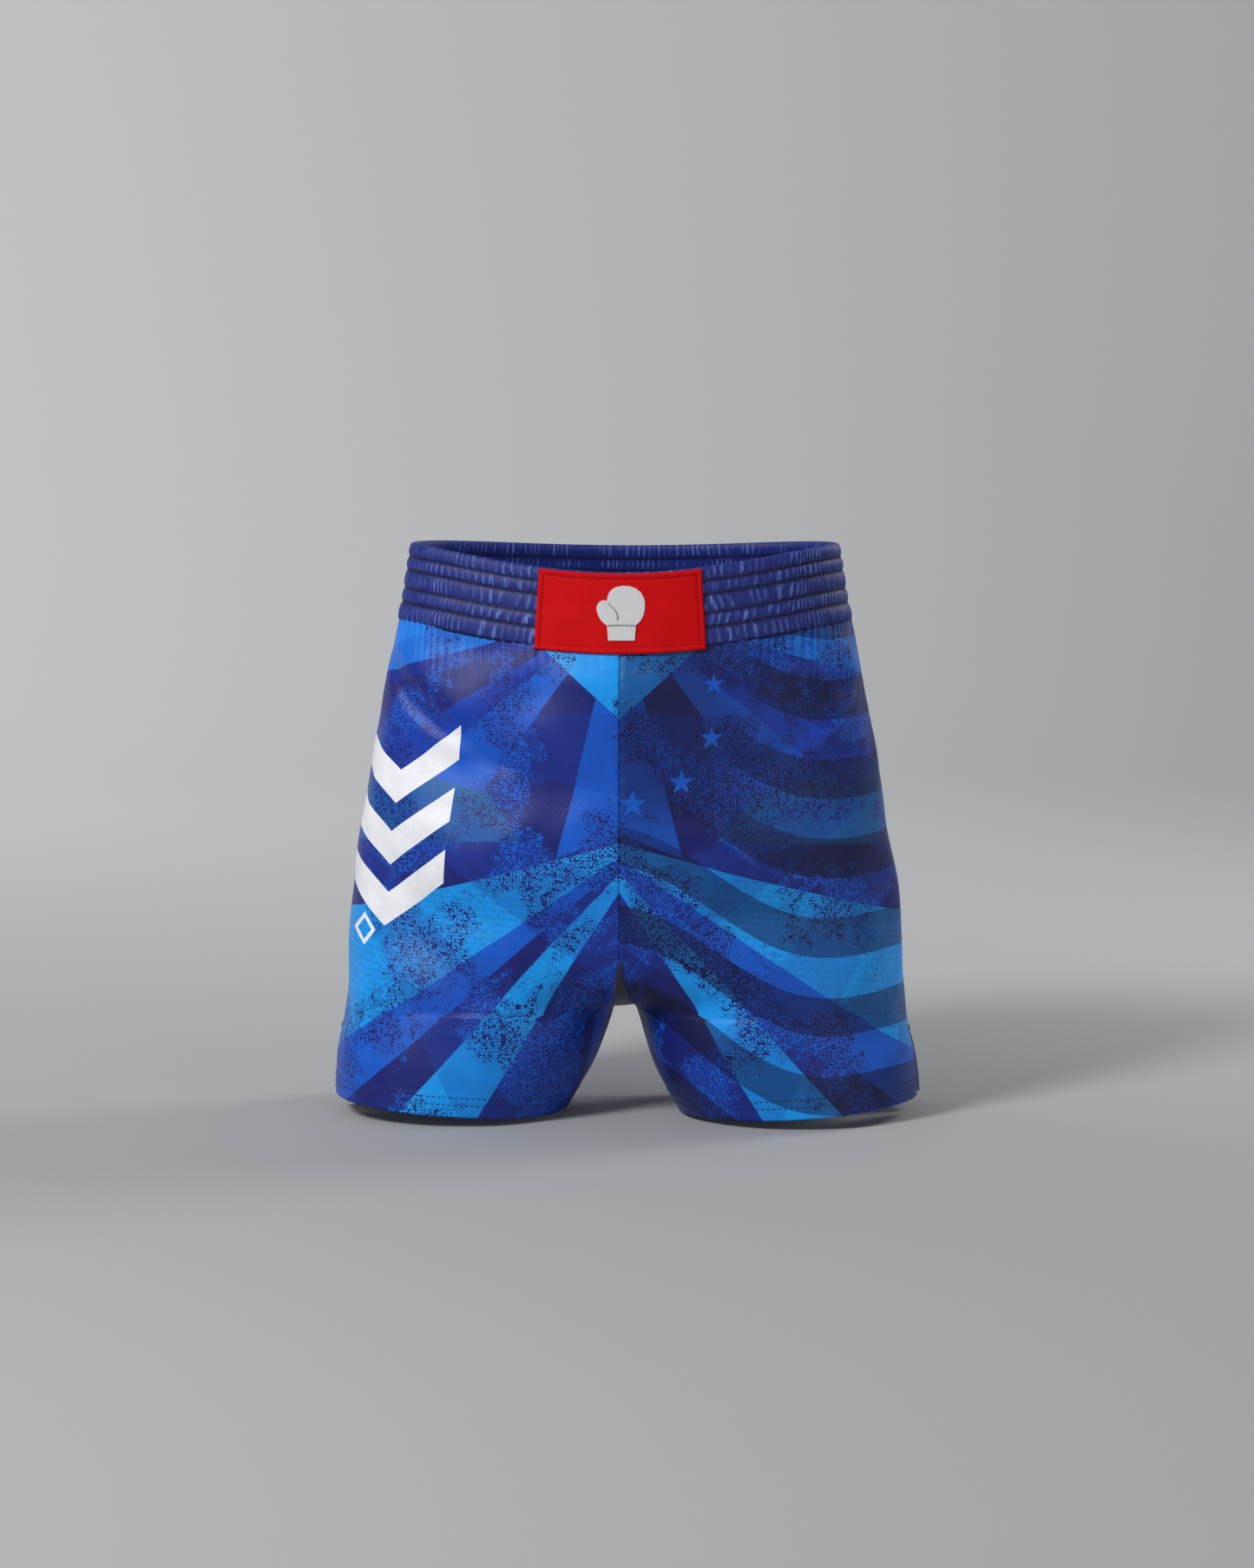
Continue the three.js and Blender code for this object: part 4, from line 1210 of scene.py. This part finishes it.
def makeLabel():
    cosine = (1 - np.cos(np.linspace(0, np.pi, label["columns"] + 1))) / 2
    even = np.linspace(0, 1, label["columns"] + 1)
    u = (0.8 * even + 0.2 * cosine - 0.5) * labelSize[0]
    even = np.linspace(0, 1, label["rows"] + 1)
    v = (0.8 * even + 0.2 * (1 - np.cos(np.pi * even)) / 2) * labelSize[1]
    across, down = np.meshgrid(u, v)
    inset = np.minimum(labelSize[0] / 2 - np.abs(across), np.minimum(down, labelSize[1] - down))
    rounded = np.sqrt(1 - (1 - np.clip(inset / label["edge"], 0, 1)) ** 2)
    onSeam = (down < labelSize[1] - stitches["labelInset"])
    dip = 0.0005 * np.exp(-((inset - stitches["labelInset"]) / 0.0011) ** 2) * onSeam
    beat = 1 + 0.5 * np.sin((across + down) * 2 * np.pi / 0.0032)
    rim = label["rim"] * np.exp(-((inset - 0.0022) / 0.0014) ** 2)
    ripple = 0.00025 * np.sin(across * 150) * np.sin(down * 90)
    front = label["back"] + label["thickness"] * rounded - dip * beat + rim + ripple
    back = np.full_like(front, label["back"] - 0.0002)
    points = np.concatenate([labelPoint(across, down, out).reshape(-1, 3) for out in (front, back)])
    rows, columns = across.shape
    faces = gridFaces(rows, columns)
    total = rows * columns
    loop = np.concatenate([np.arange(columns), np.arange(2, rows + 1) * columns - 1,
                           total - 2 - np.arange(columns - 1), np.arange(rows - 2, 0, -1) * columns])
    following = np.roll(loop, -1)
    sides = np.stack([following, loop, loop + total, following + total], -1)
    piece = meshPiece("front_label_cloth", points, np.concatenate([faces, faces[:, ::-1] + total, sides]))
    flatPlace = np.stack([across, down], -1).reshape(-1, 2)
    addPlaces(piece, "labelPlace", np.concatenate([flatPlace, flatPlace]))
    labelCloth = makeWovenMaterial("labelCloth", paint(208, 0, 8), "labelPlace", 800.0, 0.0006, 0.10,
                                   roughness=0.7, specular=0.15)
    place(piece, "label_cloth", ["front_label"], labelCloth)

    inside = stitches["labelInset"]
    halfWidth = labelSize[0] / 2 - inside
    foot = labelSize[1] - 0.003
    corners = [(-halfWidth, foot), (-halfWidth, inside), (halfWidth, inside), (halfWidth, foot)]
    path = np.concatenate([np.linspace(a, b, 60)[:-1] for a, b in zip(corners, corners[1:])])
    out = label["back"] + label["thickness"] - 0.0001
    line = labelPoint(path[:, 0], path[:, 1], out)
    normals = labelPoint(path[:, 0], path[:, 1], out + 0.01) - line
    row = stitchRow("label_stitches", line, normals, stitches["labelLength"], stitches["labelGap"],
                    stitches["labelWidth"], 0.0003)
    place(row, "label_thread", ["front_label_stitch"], makeThread("labelThread", paint(140, 4, 14)))


badge = {"heightUnits": 48, "out": 0.0048}


def makeBadge():
    # the embroidered glove keeps its CAD shape; satin stitches run across it in slightly turned blocks
    material, tree, shader = newMaterial("badgeEmbroidery", roughness=0.42, sheen=0.3, sheenRoughness=0.4)
    where = put(tree, "TexCoord", {}, {}).outputs["Object"]
    blocks = put(tree, "TexVoronoi", {}, {"Vector": where, "Scale": 90.0}).outputs["Distance"]
    parts = split(tree, where)
    lean = calc(tree, "MULTIPLY_ADD", parts[0], 0.35, parts[2])
    rows = calc(tree, "SINE", calc(tree, "MULTIPLY_ADD", lean, 2 * math.pi / 0.0009, blocks))
    # painted shade: the valleys between the satin stitch rows are painted greyer
    tone = remap(tree, rows, -1.0, 1.0)
    color = blendColor(tree, tone, paint(206, 206, 210), paint(246, 246, 248))
    tree.links.new(color, shader.inputs["Base Color"])
    tree.links.new(bump(tree, rows, 0.5, 0.0004), shader.inputs["Normal"])
    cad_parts["front_label_badge"].material_slots[0].material = material

    # a cuff line and a thumb line stitched on the glove
    low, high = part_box("front_label_badge")
    unit = (high.z - low.z) / badge["heightUnits"]
    middle = -(high.z + low.z) / 2 - body["frontDip"] - label["top"]
    bend = np.linspace(0, 1, 30)
    thumb = np.stack([-11 + 9 * np.sin(bend * np.pi * 0.62), 9 - 15 * bend], -1)
    cuff = np.stack([-11 + 25 * bend, -11 + 0.6 * np.sin(bend * np.pi)], -1)
    thread = makeThread("badgeThread", paint(150, 150, 158))
    for name, path in (("glove_thumb_line", thumb), ("glove_cuff_line", cuff)):
        line = labelPoint(path[:, 0] * unit, middle - path[:, 1] * unit, badge["out"])
        normals = labelPoint(path[:, 0] * unit, middle - path[:, 1] * unit, badge["out"] + 0.01) - line
        row = stitchRow(name, line, normals, 0.0020, 0.0003, 0.0008, 0.0004)
        place(row, "badge_embroidery", [], thread)


makeCasing()
makeBandStitches()
makeLabel()
makeBadge()
print("waistband, label and badge made")


def onCloth(points, lift=0.0):
    # moves ideal points onto the draped cloth and gives the way out there
    spots, ways = [], []
    for point in points:
        spot, normal, _, _ = outside.find_nearest(Vector(point))
        spots.append(spot + normal * lift)
        ways.append(normal)
    return np.array(spots), np.array(ways)


def legRing(side, rise, count=300):
    # a line round one leg at a height above the hem, from the side seam round the front and back to it
    t = np.linspace(1, 0, count)
    points = []
    for face in ("front", "back"):
        share = t if face == "front" else t[::-1]
        z = hemLine(share) + rise
        begin = section(z)[2]
        points.append(bodyPoint(face, begin + share * (np.pi / 2 - begin), z))
    points = np.concatenate([points[0], points[1][1:]])
    points[:, 0] *= 1 if side == "left" else -1
    return points[6:-6]


def makeHemStitches():
    thread = makeThread("hemThread", paint(52, 58, 78))
    for side in ("left", "right"):
        for key in ("lower", "upper"):
            points, normals = onCloth(legRing(side, hemRows[key]))
            row = stitchRow(f"{side}_hem_{key}_stitches", points, normals, stitches["hemLength"],
                            stitches["hemGap"], stitches["hemWidth"], 0.0004)
            place(row, "hem_thread", [f"{side}_hem_stitch_{key}"], thread)
        makeBartack(side, thread)


bartack = {"width": 0.010, "height": 0.0024, "above": 0.001, "turns": 14}


def makeBartack(side, thread):
    # a tight zigzag across the top of the side vent
    sign = 1 if side == "left" else -1
    middle = hemLine(1.0) + body["ventHeight"] + bartack["above"] + bartack["height"] / 2
    path = []
    for k in range(bartack["turns"] * 2 + 1):
        y = (k / (bartack["turns"] * 2) - 0.5) * bartack["width"]
        z = middle + bartack["height"] / 2 * (1 if k % 2 else -1)
        path.append((sign * float(measure("half", z)), y, z))
    points, normals = onCloth(path, 0.0003)
    steps = np.linspace(0, len(points) - 1, (len(points) - 1) * 4 + 1)
    fine = np.stack([np.interp(steps, np.arange(len(points)), points[:, k]) for k in range(3)], -1)
    ways = np.stack([np.interp(steps, np.arange(len(points)), normals[:, k]) for k in range(3)], -1)
    piece = stitchRow(f"{side}_vent_bartack_thread", fine, ways, 0.0022, 0.0001, 0.0006, 0.0004)
    place(piece, "hem_thread", [f"{side}_vent_bartack"], thread)


allowance = {"depth": 0.006, "thickness": 0.0014, "inset": 0.0010, "loop": 0.0022}


def seamPath(name):
    # the ideal line of one seam down the garment
    if name.endswith("rise_seam"):
        face = name.split("_")[0]
        top = -body[face + "Dip"] - body["bandHeight"] - 0.002
        z = np.linspace(top, crotchZ + body["riseCurve"] * body["gussetShare"] ** 2 + 0.004, 90)
        start = section(z)[2]
        return bodyPoint(face, start, z)
    side, kind = name.split("_")[:2]
    sign = 1 if side == "left" else -1
    if kind == "side":
        z = np.linspace(-body["bandHeight"] - 0.002, hemLine(1.0) + body["ventHeight"] + 0.004, 90)
        points = bodyPoint("front", np.full(len(z), np.pi / 2), z)
    else:
        z = np.linspace(crotchZ - 0.004, innerHemZ + body["hemDepth"] + 0.002, 40)
        start = section(z)[2]
        points = bodyPoint("front", start, z)
    return points * (sign, 1, 1)


def makeSeams():
    # overlocked seam allowances standing in from the cloth
    thread = makeThread("overlockThread", paint(70, 84, 130), 900.0)
    names = ["front_rise_seam", "back_rise_seam"]
    names += [side + kind for kind in ("_side_seam", "_inseam") for side in ("left", "right")]
    for name in names:
        points, normals = onCloth(seamPath(name))
        run = np.gradient(points, axis=0)
        run /= np.linalg.norm(run, axis=1, keepdims=True)
        aside = np.cross(run, normals)
        aside /= np.linalg.norm(aside, axis=1, keepdims=True)
        along = np.concatenate([[0], np.cumsum(np.linalg.norm(np.diff(points, axis=0), axis=1))])
        count = int(along[-1] / (allowance["loop"] / 4))
        at = np.linspace(0, along[-1], count)

        def fine(values):
            return np.stack([np.interp(at, along, values[:, k]) for k in range(3)], -1)

        centre, way, across = fine(points), fine(normals), fine(aside)
        loop = np.abs(np.sin(at * math.pi / allowance["loop"]))
        profile = [(-1, 0.0), (-1, 0.5), (-0.9, 0.93), (0.0, 1.0), (0.9, 0.93), (1, 0.5), (1, 0.0)]
        columns = []
        for lean, share in profile:
            wide = allowance["thickness"] / 2 * (0.7 + 0.3 * loop) * lean
            deep = allowance["inset"] + (allowance["depth"] + 0.0004 * loop) * share
            columns.append(centre - way * deep[:, None] + across * wide[:, None])
        strip = np.stack(columns, 1)
        width = len(profile)
        faces = [tuple(f) for f in gridFaces(count, width)]
        starts = [k * width for k in range(count - 1)]
        faces += [(k, k + width, k + 2 * width - 1, k + width - 1) for k in starts]
        faces += [tuple(range(width)), tuple(reversed(range((count - 1) * width, count * width)))]
        piece = meshPiece(name + "_overlock", strip.reshape(-1, 3), faces)
        place(piece, "overlock_thread", [name], thread)


makeHemStitches()
makeSeams()
elastic = makeWovenMaterial("elasticWeb", paint(225, 226, 230), None, 900.0, 0.0004, roughness=0.7)
for number in range(1, len(band["channels"]) + 1):
    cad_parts[f"elastic_strip_{number}"].material_slots[0].material = elastic
print("stitches, seams and elastics finished")

stage = {"floorDrop": 0.003, "centre": 0.01, "flat": 2.6, "bend": 3.2, "wallTop": 4.2, "sides": 96}


def makeStage():
    # one seamless bowl of pale paper: flat under the shorts, curving up all round them
    floorZ = innerHemZ - stage["floorDrop"]
    bends = np.linspace(0, math.pi / 2, 33)
    curve = stage["flat"] + stage["bend"] * np.sin(bends)
    radii = np.concatenate([[stage["centre"]], curve, [stage["flat"] + stage["bend"]]])
    heights = np.concatenate([[floorZ], floorZ + stage["bend"] * (1 - np.cos(bends)), [stage["wallTop"]]])
    turns = np.arange(stage["sides"]) * 2 * math.pi / stage["sides"]
    points = np.stack([radii[:, None] * np.cos(turns), radii[:, None] * np.sin(turns),
                       heights[:, None] + 0 * turns], -1)
    faces = [tuple(f) for f in gridFaces(len(radii), stage["sides"], closed=True)[:, ::-1]]
    faces.append(tuple(range(stage["sides"])))
    paper = meshPiece("paper_bowl", points.reshape(-1, 3), faces)
    material, tree, shader = newMaterial("paper", roughness=0.9)
    where = put(tree, "TexCoord", {}, {}).outputs["Object"]
    grain = noise(tree, where, 900.0, 2.0)
    tone = blendColor(tree, grain, paint(170, 171, 172), paint(178, 179, 180))
    tree.links.new(tone, shader.inputs["Base Color"])
    paper.data.materials.append(material)


def areaLight(name, where, aim, size, power, color=(1, 1, 1)):
    lamp = bpy.data.lights.new(name, "AREA")
    lamp.shape = "DISK"
    lamp.size, lamp.energy, lamp.color = size, power, color
    holder = bpy.data.objects.new(name, lamp)
    holder.location = where
    holder.rotation_euler = (Vector(where) - Vector(aim)).to_track_quat("Z", "Y").to_euler()
    scene.collection.objects.link(holder)


makeStage()
heart = (0, 0, -0.24)
areaLight("keyLight", (-1.7, -1.9, 1.7), heart, 0.9, 74)
areaLight("fillLight", (2.2, -2.6, 0.3), heart, 1.8, 12)
areaLight("rimLight", (1.7, 0.9, 0.9), heart, 0.8, 16)
areaLight("wallLight", (-1.6, 1.2, 3.0), (-1.6, 5.6, 1.2), 1.6, 170)
world = bpy.data.worlds.new("studio")
scene.world = world
world.use_nodes = True
world.node_tree.nodes["Background"].inputs["Color"].default_value = (0.72, 0.72, 0.73, 1)
world.node_tree.nodes["Background"].inputs["Strength"].default_value = 0.30
